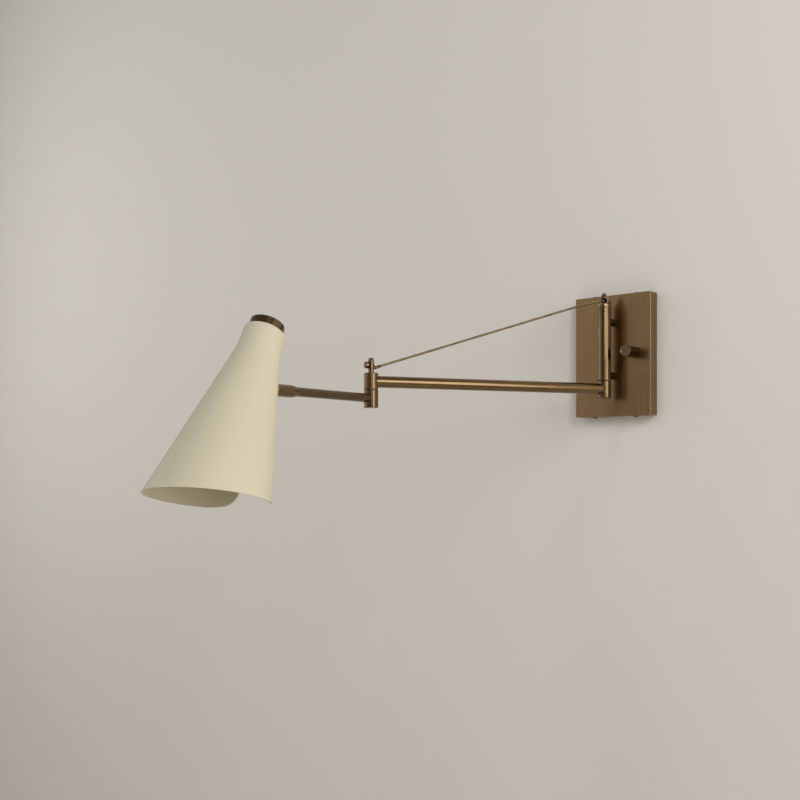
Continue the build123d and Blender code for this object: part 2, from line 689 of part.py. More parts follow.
# Elbow pin: hollow for the wires, domed on top, cross-bored for the cable and its clamp screw
PIN_FOOT = -78.3
PIN_BORE_R = 2.1
PIN_DOME = 3
CLAMP_LEVEL = -26.4
CLAMP_R = 1.5
WIRE_WAY_R = 1.7
clamp_axis = Plane(origin=elbow + Vector(0, 0, CLAMP_LEVEL), x_dir=main_arm.x_dir, z_dir=main_way)
with BuildPart() as elbow_pin:
    with BuildSketch(profile_plane(elbow_axis)):
        with BuildLine():
            Polyline(
                (0, PIN_TOP),
                (0, PIN_FOOT),
                (PIN_R, PIN_FOOT),
                (PIN_R, PIN_TOP - PIN_DOME),
            )
            dome_arc(PIN_R, PIN_TOP - PIN_DOME, PIN_TOP)
        make_face()
    revolve(axis=spin_axis(elbow_axis))
    with BuildSketch(elbow_axis.offset(PIN_FOOT)):
        Circle(PIN_BORE_R)
    extrude(amount=MAIN_ARM_Z + 4 - PIN_FOOT, mode=Mode.SUBTRACT)
    with BuildSketch(main_arm.offset(MAIN_ARM_LENGTH)):
        Circle(WIRE_WAY_R)
    extrude(amount=-2 * PIN_R, mode=Mode.SUBTRACT)
    with BuildSketch(second_arm):
        Circle(WIRE_WAY_R)
    extrude(amount=2 * PIN_R, mode=Mode.SUBTRACT)
    with BuildSketch(cable.offset(CABLE_LENGTH)):
        Circle(CABLE_R + RUNNING)
    extrude(amount=-3 * PIN_R, mode=Mode.SUBTRACT)
    with BuildSketch(clamp_axis):
        Circle(CLAMP_R)
    extrude(amount=2 * PIN_R, both=True, mode=Mode.SUBTRACT)
elbow_pin.part.label = "elbow_pin"
export_step(elbow_pin.part, "parts/elbow_pin.step")

# Clamp screw: a round head on the far side of the pin, its hollow tip showing beside the cable
CLAMP_HEAD_R = 3.4
CLAMP_HEAD = 7.3
clamp_tip = -PIN_R - 0.9
clamp_seat = PIN_R + 0.5
clamp_top = clamp_seat + CLAMP_HEAD + 0.4
with BuildPart() as cable_clamp_screw:
    revolve(
        turned(
            clamp_axis,
            (0, clamp_tip),
            (CLAMP_R - 0.4, clamp_tip),
            (CLAMP_R, clamp_tip + 0.4),
            (CLAMP_R, clamp_seat),
            (CLAMP_HEAD_R - 0.4, clamp_seat),
            (CLAMP_HEAD_R, clamp_seat + 0.4),
            (CLAMP_HEAD_R, clamp_top - 0.4),
            (CLAMP_HEAD_R - 0.4, clamp_top),
            (0, clamp_top),
        ),
        axis=spin_axis(clamp_axis),
    )
    with BuildSketch(clamp_axis.offset(clamp_tip)):
        RegularPolygon(SOCKET_R, 6)
    extrude(amount=1.4, mode=Mode.SUBTRACT)
cable_clamp_screw.part.label = "cable_clamp_screw"
export_step(cable_clamp_screw.part, "parts/cable_clamp_screw.step")

# Elbow, lower half: a sleeve brazed to the second arm, bored for two bushes and the pin's nut
LOWER_TOP = ELBOW_SEAM - 0.4
BUSH_R = 5
UPPER_BUSH = 4.6
LOWER_BUSH = 3
NUT_WELL_R = 6.5
NUT_WELL_TOP = -75.6
with BuildPart() as elbow_lower_knuckle:
    revolve(
        turned(
            elbow_axis,
            (BUSH_R, LOWER_TOP),
            (ELBOW_R - 0.3, LOWER_TOP),
            (ELBOW_R, LOWER_TOP - 0.3),
            (ELBOW_R, ELBOW_FOOT + 0.5),
            (ELBOW_R - 0.5, ELBOW_FOOT),
            (NUT_WELL_R, ELBOW_FOOT),
            (NUT_WELL_R, NUT_WELL_TOP),
            (BUSH_R, NUT_WELL_TOP),
        ),
        axis=spin_axis(elbow_axis),
    )
    with BuildSketch(second_arm):
        Circle(SECOND_TUBE_BORE_R - 0.8)
    extrude(amount=ELBOW_R + 1, mode=Mode.SUBTRACT)
elbow_lower_knuckle.part.label = "elbow_lower_knuckle"
export_step(elbow_lower_knuckle.part, "parts/elbow_lower_knuckle.step")

# Elbow bushes: two plain sleeves pressed into the lower half, that turn on the pin
with BuildPart() as elbow_bushes:
    revolve(
        tube_wall(elbow_axis, BUSH_R, PIN_R + RUNNING, LOWER_TOP - UPPER_BUSH, LOWER_TOP),
        axis=spin_axis(elbow_axis),
    )
    revolve(
        tube_wall(elbow_axis, BUSH_R, PIN_R + RUNNING, NUT_WELL_TOP, NUT_WELL_TOP + LOWER_BUSH),
        axis=spin_axis(elbow_axis),
    )
elbow_bushes.part.label = "elbow_bushes"
export_step(elbow_bushes.part, "parts/elbow_bushes.step")

# Elbow washer: a thin dark friction disc between the two halves
with BuildPart() as elbow_washer:
    revolve(
        tube_wall(elbow_axis, ELBOW_R - 0.7, PIN_R + 0.3, LOWER_TOP, LOWER_TOP + ELBOW_WASHER - 0.1),
        axis=spin_axis(elbow_axis),
    )
elbow_washer.part.label = "elbow_washer"
export_step(elbow_washer.part, "parts/elbow_washer.step")

# Pin nut in its well, and the disc that closes the well flush with the elbow's foot
with BuildPart() as elbow_pin_nut:
    revolve(
        tube_wall(elbow_axis, NUT_WELL_R - 0.5, PIN_R, PIN_FOOT, NUT_WELL_TOP - 0.3),
        axis=spin_axis(elbow_axis),
    )
elbow_pin_nut.part.label = "elbow_pin_nut"
export_step(elbow_pin_nut.part, "parts/elbow_pin_nut.step")

END_DISC = 0.9
with BuildPart() as elbow_end_cap:
    with BuildSketch(elbow_axis.offset(ELBOW_FOOT)):
        Circle(NUT_WELL_R)
    extrude(amount=END_DISC)
elbow_end_cap.part.label = "elbow_end_cap"
export_step(elbow_end_cap.part, "parts/elbow_end_cap.step")

# Second arm: a thinner tube, coped to the lower knuckle, running into the swivel ferrule
with BuildPart() as second_arm_tube:
    with BuildSketch(second_arm):
        Circle(SECOND_TUBE_R)
        Circle(SECOND_TUBE_BORE_R, mode=Mode.SUBTRACT)
    extrude(amount=SECOND_TUBE_END)
    with BuildSketch(elbow_axis.offset(ELBOW_FOOT)):
        Circle(ELBOW_R)
    extrude(amount=ELBOW_SEAM - ELBOW_FOOT, mode=Mode.SUBTRACT)
second_arm_tube.part.label = "second_arm_tube"
export_step(second_arm_tube.part, "parts/second_arm_tube.step")

# Swivel stem and nut: fixed in the tube's end, they hold the ferrule and let it turn
STEM_R = 3.5
STEM_BORE_R = 2
STEM_END = 157
STEM_PLUG = 18
SWIVEL_NUT_R = 4.9
SWIVEL_NUT = 3.5
WEB_START = SECOND_TUBE_END + 0.4
WEB_END = WEB_START + 6
with BuildPart() as swivel_stem:
    revolve(
        turned(
            second_arm,
            (STEM_BORE_R, SECOND_TUBE_END - STEM_PLUG),
            (SECOND_TUBE_BORE_R, SECOND_TUBE_END - STEM_PLUG),
            (SECOND_TUBE_BORE_R, SECOND_TUBE_END),
            (STEM_R, SECOND_TUBE_END),
            (STEM_R, STEM_END),
            (STEM_BORE_R, STEM_END),
        ),
        axis=spin_axis(second_arm),
    )
swivel_stem.part.label = "swivel_stem"
export_step(swivel_stem.part, "parts/swivel_stem.step")

with BuildPart() as swivel_nut:
    revolve(
        tube_wall(second_arm, SWIVEL_NUT_R, STEM_R, WEB_END + 0.3, WEB_END + 0.3 + SWIVEL_NUT),
        axis=spin_axis(second_arm),
    )
swivel_nut.part.label = "swivel_nut"
export_step(swivel_nut.part, "parts/swivel_nut.step")

# Swivel ferrule: a sleeve that swells from the tube's size, bored for the tube, the stem and the nut
FERRULE_BORE_R = 5.25
with BuildPart() as swivel_ferrule:
    revolve(
        turned(
            swivel,
            (SECOND_TUBE_R + RUNNING, FERRULE_START),
            (SECOND_TUBE_R + 0.45, FERRULE_START),
            (FERRULE_R, FERRULE_START + FERRULE_TAPER),
            (FERRULE_R, FERRULE_END),
            (FERRULE_BORE_R, FERRULE_END),
            (FERRULE_BORE_R, WEB_END),
            (STEM_R + RUNNING, WEB_END),
            (STEM_R + RUNNING, WEB_START),
            (SECOND_TUBE_R + RUNNING, WEB_START),
        ),
        axis=spin_axis(swivel),
    )
swivel_ferrule.part.label = "swivel_ferrule"
export_step(swivel_ferrule.part, "parts/swivel_ferrule.step")

# Tilt tongue: a plug in the ferrule's end and a flat tongue with a round nose about the tilt screw
TONGUE_HALF = 2
TONGUE_NOSE_R = 5
TILT_SCREW_R = 2
TONGUE_PLUG = 9
TONGUE_DISC = 2
tilt_pivot = swivel.origin + second_way * TILT_PIVOT
with BuildPart() as tilt_tongue:
    revolve(
        turned(
            swivel,
            (0, FERRULE_END - TONGUE_PLUG),
            (FERRULE_BORE_R, FERRULE_END - TONGUE_PLUG),
            (FERRULE_BORE_R, FERRULE_END),
            (FERRULE_R, FERRULE_END),
            (FERRULE_R, FERRULE_END + TONGUE_DISC - 0.6),
            (FERRULE_R - 0.6, FERRULE_END + TONGUE_DISC),
            (0, FERRULE_END + TONGUE_DISC),
        ),
        axis=spin_axis(swivel),
    )
    with BuildSketch(side_plane(swivel)):
        with Locations((0, (FERRULE_END + 1 + TILT_PIVOT) / 2)):
            Rectangle(2 * TONGUE_NOSE_R, TILT_PIVOT - FERRULE_END - 1)
        with Locations((0, TILT_PIVOT)):
            Circle(TONGUE_NOSE_R)
    extrude(amount=TONGUE_HALF, both=True)
    with BuildSketch(side_plane(swivel)):
        with Locations((0, TILT_PIVOT)):
            Circle(TILT_SCREW_R + RUNNING)
    extrude(amount=2 * TONGUE_HALF, both=True, mode=Mode.SUBTRACT)
tilt_tongue.part.label = "tilt_tongue"
export_step(tilt_tongue.part, "parts/tilt_tongue.step")

# Shade: sheet turned to a short neck, a soft shoulder, a flare and a long cone, with an oblique mouth
# and a tapered slit down its back whose foot corners are rounded
slope = tan(radians(CONE_ANGLE))
flare_rise = FLARE_R * (1 - cos(radians(CONE_ANGLE)))
cone_start = CONE_LEVEL + (NECK_R + flare_rise - CONE_R) / slope
flare_start = cone_start - FLARE_R * sin(radians(CONE_ANGLE))
cone_start_r = NECK_R + flare_rise
CONE_END = 250
LAMP_HOLE_R = LAMP_NIPPLE_R + 0.1
shoulder_in = NECK_R - SHOULDER_R
half_flare = radians(CONE_ANGLE / 2)
mouth = Plane(
    origin=shade_frame.origin + shade_frame.z_dir * MOUTH_LEVEL,
    x_dir=shade_frame.x_dir,
    z_dir=shade_frame.z_dir - shade_frame.y_dir * MOUTH_SLOPE,
)


def sheet_side(gauge):
    """Radius and level of the corners of one face of the sheet: gauge 0 is outside, SHEET inside."""
    top = CAP_HEIGHT + gauge
    bend = SHOULDER_R - gauge
    neck = NECK_R - gauge
    flare = FLARE_R + gauge
    start = (neck + flare * (1 - cos(2 * half_flare)), flare_start + flare * sin(2 * half_flare))
    middle = (neck + flare * (1 - cos(half_flare)), flare_start + flare * sin(half_flare))
    end = (start[0] + slope * (CONE_END - start[1]), CONE_END)
    shoulder_middle = (
        shoulder_in + bend * sin(radians(45)),
        top + bend * (1 - cos(radians(45))),
    )
    return top, bend, neck, shoulder_middle, middle, start, end


def sheet_line(gauge):
    top, bend, neck, shoulder_middle, middle, start, end = sheet_side(gauge)
    Line((LAMP_HOLE_R, top), (shoulder_in, top))
    ThreePointArc((shoulder_in, top), shoulder_middle, (neck, top + bend))
    Line((neck, top + bend), (neck, flare_start))
    ThreePointArc((neck, flare_start), middle, start)
    Line(start, end)
    return end


with BuildPart() as shade:
    with BuildSketch(profile_plane(shade_frame)):
        with BuildLine():
            outer_end = sheet_line(0)
            inner_end = sheet_line(SHEET)
            Line(outer_end, inner_end)
            Line((LAMP_HOLE_R, CAP_HEIGHT), (LAMP_HOLE_R, CAP_HEIGHT + SHEET))
        make_face()
    revolve(axis=spin_axis(shade_frame))
    split(bisect_by=mouth, keep=Keep.BOTTOM)
    with BuildSketch(profile_plane(shade_frame)):
        with BuildLine():
            arc_level = SLIT_TOP + SLIT_TOP_R
            side_slope = (SLIT_MOUTH_HALF - SLIT_TOP_R) / (SLIT_CORNER_LEVEL - arc_level)
            foot = (SLIT_MOUTH_HALF, SLIT_CORNER_LEVEL)
            rim = (SLIT_CORNER_HALF, SLIT_CORNER_RIM)
            rim_out = (SLIT_CORNER_HALF + 7, SLIT_CORNER_RIM + 4)
            CenterArc((0, arc_level), SLIT_TOP_R, -90, 90)
            Line((SLIT_TOP_R, arc_level), foot)
            TangentArc(foot, rim, tangent=(side_slope, 1))
            Polyline(rim, rim_out, (rim_out[0], CONE_END), (0, CONE_END), (0, SLIT_TOP))
        make_face()
        mirror(about=Plane.YZ)
    extrude(amount=2 * SLIT_CORNER_HALF, mode=Mode.SUBTRACT)
shade.part.label = "shade"
export_step(shade.part, "parts/shade.step")

# Top cap: a turned brass cap, hollow behind its rim, screwed down on the lamp nipple over the shade
CAP_SHEET = 2.4
CAP_BOSS_R = 8
NIPPLE_TOP = 3.4
with BuildPart() as top_cap:
    revolve(
        turned(
            shade_frame,
            (0, 0),
            (CAP_R - 0.5, 0),
            (CAP_R, 0.5),
            (CAP_R, CAP_HEIGHT - 0.2),
            (CAP_R - 0.2, CAP_HEIGHT),
            (CAP_R - CAP_SHEET, CAP_HEIGHT),
            (CAP_R - CAP_SHEET, CAP_SHEET),
            (CAP_BOSS_R, CAP_SHEET),
            (CAP_BOSS_R, CAP_HEIGHT),
            (LAMP_NIPPLE_R, CAP_HEIGHT),
            (LAMP_NIPPLE_R, NIPPLE_TOP - 0.4),
            (0, NIPPLE_TOP - 0.4),
        ),
        axis=spin_axis(shade_frame),
    )
top_cap.part.label = "top_cap"
export_step(top_cap.part, "parts/top_cap.step")

# Lamp nipple and its two lock nuts: one clamps the shade, the other the lampholder's cup
CUP_WEB = 2.4
CUP_STEP = 4
LAMP_NIPPLE_BORE_R = 3.2
LOCK_NUT_R = 8
LOCK_NUT = 3
with BuildPart() as lamp_nipple:
    revolve(
        tube_wall(shade_frame, LAMP_NIPPLE_R, LAMP_NIPPLE_BORE_R, NIPPLE_TOP, CUP_TOP + CUP_WEB + CUP_STEP),
        axis=spin_axis(shade_frame),
    )
lamp_nipple.part.label = "lamp_nipple"
export_step(lamp_nipple.part, "parts/lamp_nipple.step")

with BuildPart() as lamp_lock_nuts:
    for level, height in ((CAP_HEIGHT + SHEET, CUP_TOP - CAP_HEIGHT - SHEET), (CUP_TOP + CUP_WEB, LOCK_NUT)):
        with BuildSketch(shade_frame.offset(level)):
            RegularPolygon(LOCK_NUT_R, 6)
            Circle(LAMP_NIPPLE_R, mode=Mode.SUBTRACT)
        extrude(amount=height)
lamp_lock_nuts.part.label = "lamp_lock_nuts"
export_step(lamp_lock_nuts.part, "parts/lamp_lock_nuts.step")

# Lampholder cup: thin turned shell, rounded at the top, open downwards
CUP_WALL = 1.4
with BuildPart() as lampholder_cup:
    with BuildSketch(shade_frame.offset(CUP_TOP)):
        Circle(CUP_R)
    extrude(amount=CUP_MOUTH - CUP_TOP)
    fillet(lampholder_cup.edges().sort_by(spin_axis(shade_frame))[0], CUP_STEP)
    with BuildSketch(shade_frame.offset(CUP_TOP + CUP_WEB)):
        Circle(CUP_R - CUP_WALL - 2.5)
    extrude(amount=CUP_STEP, mode=Mode.SUBTRACT)
    with BuildSketch(shade_frame.offset(CUP_TOP + CUP_WEB + CUP_STEP)):
        Circle(CUP_R - CUP_WALL)
    extrude(amount=CUP_MOUTH, mode=Mode.SUBTRACT)
    with BuildSketch(shade_frame.offset(CUP_TOP)):
        Circle(LAMP_NIPPLE_R)
    extrude(amount=CUP_WEB, mode=Mode.SUBTRACT)
lampholder_cup.part.label = "lampholder_cup"
export_step(lampholder_cup.part, "parts/lampholder_cup.step")

# Lampholder: an insulating body with a screw shell for an E26 lamp and a sprung centre contact
BODY_R = 15.8
BODY_TOP = 25
SHELL_R = 13.9
SHELL_WALL = 0.5
SHELL_START = 45
SHELL_END = 75
BODY_MOUTH_R = 14.6
body_floor = SHELL_START - 4
with BuildPart() as lampholder_body:
    revolve(
        turned(
            shade_frame,
            (0, BODY_TOP),
            (BODY_R - 1.5, BODY_TOP),
            (BODY_R, BODY_TOP + 1.5),
            (BODY_R, CUP_MOUTH - 2),
            (BODY_MOUTH_R, CUP_MOUTH - 2),
            (BODY_MOUTH_R, SHELL_END + 1),
            (SHELL_R, SHELL_END),
            (SHELL_R, body_floor),
            (0, body_floor),
        ),
        axis=spin_axis(shade_frame),
    )
lampholder_body.part.label = "lampholder_body"
export_step(lampholder_body.part, "parts/lampholder_body.step")

# Screw shell: a thin brass sleeve pressed into the body, and the contact in the middle of its floor
with BuildPart() as screw_shell:
    revolve(
        tube_wall(shade_frame, SHELL_R, SHELL_R - SHELL_WALL, SHELL_START, SHELL_END),
        axis=spin_axis(shade_frame),
    )
screw_shell.part.label = "screw_shell"
export_step(screw_shell.part, "parts/screw_shell.step")

CONTACT_R = 5
CONTACT_TIP = SHELL_START + 0.8
with BuildPart() as centre_contact:
    revolve(
        turned(
            shade_frame,
            (0, body_floor),
            (CONTACT_R, body_floor),
            (CONTACT_R, body_floor + 0.8),
            (CONTACT_R - 2, CONTACT_TIP - 0.4),
            (0, CONTACT_TIP),
        ),
        axis=spin_axis(shade_frame),
    )
centre_contact.part.label = "centre_contact"
export_step(centre_contact.part, "parts/centre_contact.step")

# Tilt fork: a block brazed to the cup, slotted for the tongue, with two rounded ears
pivot_in_shade = shade_frame.to_local_coords(tilt_pivot)
PIVOT_OUT = -pivot_in_shade.Y
PIVOT_LEVEL = pivot_in_shade.Z
FORK_HALF = 6
FORK_SLOT_HALF = 2.7
EAR_R = 5.5
FORK_ROOT = PIVOT_OUT - TONGUE_NOSE_R - 1
with BuildPart() as tilt_fork:
    with BuildSketch(side_plane(shade_frame)):
        with Locations((-PIVOT_OUT, PIVOT_LEVEL)):
            Circle(EAR_R)
        with Locations(((-PIVOT_OUT - CUP_R + 3) / 2, PIVOT_LEVEL)):
            Rectangle(PIVOT_OUT - CUP_R + 3, 2 * EAR_R)
    extrude(amount=FORK_HALF, both=True)
    with BuildSketch(side_plane(shade_frame)):
        with Locations((-FORK_ROOT - CUP_R, PIVOT_LEVEL)):
            Rectangle(2 * CUP_R, 4 * EAR_R)
    extrude(amount=FORK_SLOT_HALF, both=True, mode=Mode.SUBTRACT)
    with BuildSketch(side_plane(shade_frame)):
        with Locations((-PIVOT_OUT, PIVOT_LEVEL)):
            Circle(TILT_SCREW_R)
    extrude(amount=2 * FORK_HALF, both=True, mode=Mode.SUBTRACT)
    with BuildSketch(shade_frame.offset(CUP_TOP)):
        Circle(CUP_R)
    extrude(amount=CUP_MOUTH, mode=Mode.SUBTRACT)
tilt_fork.part.label = "tilt_fork"
export_step(tilt_fork.part, "parts/tilt_fork.step")

# Tilt washers, screw and nut: the ears are drawn against the tongue so that the shade stays put
tilt_axis = Plane(origin=tilt_pivot, x_dir=second_way, z_dir=swivel.x_dir)
TILT_WASHER_GAP = 0.15
TILT_WASHER_R = 4.6
TILT_HEAD_R = 3.6
TILT_HEAD = 2.3
TILT_SOCKET_R = 1.4
TILT_NUT_R = 4
TILT_NUT = 2.8
with BuildPart() as tilt_washers:
    for side in (1, -1):
        with BuildSketch(tilt_axis.offset(side * (FORK_SLOT_HALF + TONGUE_HALF + TILT_WASHER_GAP) / 2)):
            Circle(TILT_WASHER_R)
            Circle(TILT_SCREW_R, mode=Mode.SUBTRACT)
        extrude(amount=(FORK_SLOT_HALF - TONGUE_HALF - TILT_WASHER_GAP) / 2, both=True)
tilt_washers.part.label = "tilt_washers"
export_step(tilt_washers.part, "parts/tilt_washers.step")

with BuildPart() as tilt_screw:
    revolve(
        turned(
            tilt_axis,
            (0, -FORK_HALF - TILT_NUT - 0.6),
            (TILT_SCREW_R, -FORK_HALF - TILT_NUT - 0.6),
            (TILT_SCREW_R, FORK_HALF),
            (TILT_HEAD_R, FORK_HALF),
            (TILT_HEAD_R, FORK_HALF + TILT_HEAD - 0.7),
            (TILT_HEAD_R - 0.7, FORK_HALF + TILT_HEAD),
            (0, FORK_HALF + TILT_HEAD),
        ),
        axis=spin_axis(tilt_axis),
    )
    with BuildSketch(tilt_axis.offset(FORK_HALF + TILT_HEAD / 2)):
        RegularPolygon(TILT_SOCKET_R, 6)
    extrude(amount=TILT_HEAD, mode=Mode.SUBTRACT)
tilt_screw.part.label = "tilt_screw"
export_step(tilt_screw.part, "parts/tilt_screw.step")

with BuildPart() as tilt_nut:
    with BuildSketch(tilt_axis.offset(-FORK_HALF - TILT_NUT)):
        RegularPolygon(TILT_NUT_R, 6)
        Circle(TILT_SCREW_R, mode=Mode.SUBTRACT)
    extrude(amount=TILT_NUT)
tilt_nut.part.label = "tilt_nut"
export_step(tilt_nut.part, "parts/tilt_nut.step")

# Bulb: a screw base and a pear-shaped frosted glass, its widest ring well inside the cone
BASE_R = 13.1
BASE_END = 75.4
BASE_START = SHELL_START + 1.6
BASE_TIP_R = 4.5
THROAT_R = 13.4
THROAT = 8
with BuildPart() as bulb_base:
    revolve(
        turned(
            shade_frame,
            (0, BASE_START),
            (BASE_TIP_R, BASE_START),
            (BASE_R - 3, BASE_START + 2.4),
            (BASE_R, BASE_START + 4.4),
            (BASE_R, BASE_END),
            (0, BASE_END),
        ),
        axis=spin_axis(shade_frame),
    )
bulb_base.part.label = "bulb_base"
export_step(bulb_base.part, "parts/bulb_base.step")

GLOBE_LEVEL = BULB_TIP - BULB_R
with BuildPart() as bulb_glass:
    with BuildSketch(profile_plane(shade_frame)):
        with BuildLine():
            throat = Line((THROAT_R, BASE_END), (THROAT_R + 0.4, BASE_END + THROAT))
            globe = CenterArc((0, GLOBE_LEVEL), BULB_R, -40, 130)
            Spline(throat @ 1, globe @ 0, tangents=(throat % 1, globe % 0))
            Polyline(globe @ 1, (0, BASE_END), throat @ 0)
        make_face()
    revolve(axis=spin_axis(shade_frame))
bulb_glass.part.label = "bulb_glass"
export_step(bulb_glass.part, "parts/bulb_glass.step")

# Where the joints turn, and how long the cable is between its two ends
for name, spot in (("elbow", elbow), ("tilt pivot", tilt_pivot), ("shade top", shade_frame.origin)):
    print(name, [round(value, 3) for value in spot])
for name, way in (("second arm", second_way), ("tilt axis", swivel.x_dir), ("shade axis", shade_down)):
    print(name, [round(value, 5) for value in way])
print("cable", round(CABLE_LENGTH, 1))
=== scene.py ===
from math import atan2, cos, pi, radians, sin, sqrt, tan

import bmesh
import bpy
from mathutils import Matrix, Vector


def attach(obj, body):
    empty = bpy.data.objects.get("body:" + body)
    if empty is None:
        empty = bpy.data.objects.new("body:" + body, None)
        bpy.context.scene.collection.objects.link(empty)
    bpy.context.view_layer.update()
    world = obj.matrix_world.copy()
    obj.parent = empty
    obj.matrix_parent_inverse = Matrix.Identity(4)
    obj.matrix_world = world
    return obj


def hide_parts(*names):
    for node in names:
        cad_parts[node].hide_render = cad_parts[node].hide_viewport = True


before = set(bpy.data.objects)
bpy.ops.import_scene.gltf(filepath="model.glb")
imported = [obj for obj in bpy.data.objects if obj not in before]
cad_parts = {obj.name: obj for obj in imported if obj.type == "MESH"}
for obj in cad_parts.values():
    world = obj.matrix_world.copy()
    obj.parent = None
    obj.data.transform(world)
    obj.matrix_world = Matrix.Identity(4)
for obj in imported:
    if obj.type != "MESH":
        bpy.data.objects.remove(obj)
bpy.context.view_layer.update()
scene = bpy.context.scene
MM = 0.001


# Camera: level, to the right of the lamp, looking past the shade at the wall plate. Its lens is
# shifted up, so that upright edges stay upright.
CAMERA_SPOT = (0.722875, -1.339688, -0.160804)
CAMERA_TURN = radians(39.774)
CAMERA_LENS = 48.76
CAMERA_SHIFT = 0.0921
camera = bpy.data.objects.new("camera", bpy.data.cameras.new("camera"))
scene.collection.objects.link(camera)
camera.location = CAMERA_SPOT
camera.rotation_euler = (radians(90), 0, CAMERA_TURN)
camera.data.lens = CAMERA_LENS
camera.data.shift_y = CAMERA_SHIFT
scene.camera = camera
scene.view_settings.view_transform = "Standard"


# Tension cable: a wire rope of three strands laid round a thin core, pulled tight from the ball in the
# post's head to the elbow pin. A swaged sleeve stiffens the end that the screw clamps.
class Amount:
    """A number or colour that varies over a surface: arithmetic on it adds the nodes."""

    def __init__(self, finish, socket):
        self.finish = finish
        self.socket = socket

    def maths(self, operation, first, second):
        return self.finish.node("ShaderNodeMath", {"operation": operation}, {0: first, 1: second})

    def __add__(self, other):
        return self.maths("ADD", self, other)

    def __sub__(self, other):
        return self.maths("SUBTRACT", self, other)

    def __rsub__(self, other):
        return self.maths("SUBTRACT", other, self)

    def __mul__(self, other):
        return self.maths("MULTIPLY", self, other)

    __radd__ = __add__
    __rmul__ = __mul__


class Finish:
    """A procedural material: its constants stand on the shader, and node() adds the rest."""

    def __init__(self, name, **constants):
        self.material = bpy.data.materials.new(name)
        self.material.use_nodes = True
        self.tree = self.material.node_tree
        self.shader = self.tree.nodes["Principled BSDF"]
        for socket, value in constants.items():
            self.shader.inputs[socket.replace("_", " ")].default_value = value

    def node(self, kind, settings=None, inputs=None, out=0):
        """A node of this kind: its settings first, then the values or links of its sockets."""
        made = self.tree.nodes.new(kind)
        for name, value in (settings or {}).items():
            setattr(made, name, value)
        for name, value in (inputs or {}).items():
            self.feed(made.inputs[name], value)
        return Amount(self, made.outputs[out])

    def feed(self, socket, value):
        if isinstance(value, Amount):
            self.tree.links.new(value.socket, socket)
        else:
            socket.default_value = value

    def set(self, socket, value):
        self.feed(self.shader.inputs[socket], value)

    def noise(self, size, origin=(0, 0, 0), turn=(0, 0, 0), detail=2.0, roughness=0.5):
        """Noise from 0 to 1. Its grain has one size, or three along a turned piece's own axes."""
        size = size if isinstance(size, tuple) else (size, size, size)
        spot = self.node("ShaderNodeTexCoord", out="Object")
        local = self.node(
            "ShaderNodeMapping",
            {"vector_type": "TEXTURE"},
            {"Vector": spot, "Location": origin, "Rotation": turn, "Scale": size},
        )
        return self.node(
            "ShaderNodeTexNoise",
            {"noise_dimensions": "3D"},
            {"Vector": local, "Scale": 1.0, "Detail": detail, "Roughness": roughness},
        )

    def spread(self, value, low, high):
        """Stretches the part of a noise between low and high to 0 to 1."""
        return self.node(
            "ShaderNodeMapRange",
            {"clamp": True, "interpolation_type": "SMOOTHSTEP"},
            {"Value": value, "From Min": low, "From Max": high},
        )

    def blend(self, share, first, second):
        """The first colour where the share is 0 and the second where it is 1."""
        settings = {"data_type": "RGBA", "clamp_factor": True}
        return self.node("ShaderNodeMix", settings, {0: share, 6: first, 7: second}, out=2)

    def bump(self, height, depth, over=None):
        """Relief of this height, over the surface or over another normal."""
        sockets = {"Strength": 1.0, "Distance": depth, "Height": height}
        if over:
            sockets["Normal"] = over
        self.set("Normal", self.node("ShaderNodeBump", {}, sockets))


def colour(red, green, blue):
    """A colour given as it looks on screen, from 0 to 255."""
    parts = [((part / 255 + 0.055) / 1.055) ** 2.4 for part in (red, green, blue)]
    return (*parts, 1)


def heading(angle_out):
    """The level way that an arm points, at this angle out from the wall."""
    return Vector((-cos(radians(angle_out)), -sin(radians(angle_out)), 0))


POST_Y = -41 * MM
ARM_OUT = 60.62
ARM_LENGTH = 332.9 * MM
CABLE_AT_POST = 75.5 * MM
CABLE_AT_ELBOW = -31 * MM
CABLE_R = 1.55 * MM
BALL_OUT = 2.2 * MM
BALL_LEVEL = 71.8 * MM
BALL_R = 3.7 * MM
BALL_BITE = 0.2 * MM
STRANDS = 3
STRAND_SHARE = 0.464
CORE_SHARE = 0.2
WIRES = 7
WIRE_RELIEF = 0.09
STRAND_MEAN = 0.95
STRAND_TWIST = -1.5
LAY = 14 * MM
SLEEVE = 12 * MM
SLEEVE_R = 1.9 * MM
SHORT_OF_PIN = 1 * MM
STRAIGHT_FROM = 26 * MM
arm_way = heading(ARM_OUT)
post_foot = Vector((0, POST_Y, 0))
elbow = post_foot + arm_way * ARM_LENGTH
cable_fall = (CABLE_AT_POST - CABLE_AT_ELBOW) / ARM_LENGTH
cable_slope = arm_way - Vector((0, 0, cable_fall))
cable_top = post_foot + Vector((0, 0, CABLE_AT_POST))
ball = post_foot + Vector((0, 0, BALL_LEVEL)) + arm_way * BALL_OUT
cable_way = cable_slope.normalized()
cable_bend = cable_top + cable_slope * STRAIGHT_FROM
cable_start = ball + (cable_bend - ball).normalized() * (BALL_R - BALL_BITE)
cable_stop = elbow + Vector((0, 0, CABLE_AT_ELBOW)) - cable_way * SHORT_OF_PIN

route = bpy.data.curves.new("cable_route", "CURVE")
route.dimensions = "3D"
route_spline = route.splines.new("NURBS")
route_points = [cable_start, *(cable_bend.lerp(cable_stop, share) for share in (0, 0.25, 0.6, 1))]
route_spline.points.add(len(route_points) - 1)
for point, spot in zip(route_spline.points, route_points):
    point.co = (*spot, 1)
route_spline.order_u = 3
route_spline.use_endpoint_u = True
cable_line = bpy.data.objects.new("cable_line", route)
scene.collection.objects.link(cable_line)
bpy.context.view_layer.update()
line_mesh = bpy.data.meshes.new_from_object(cable_line)

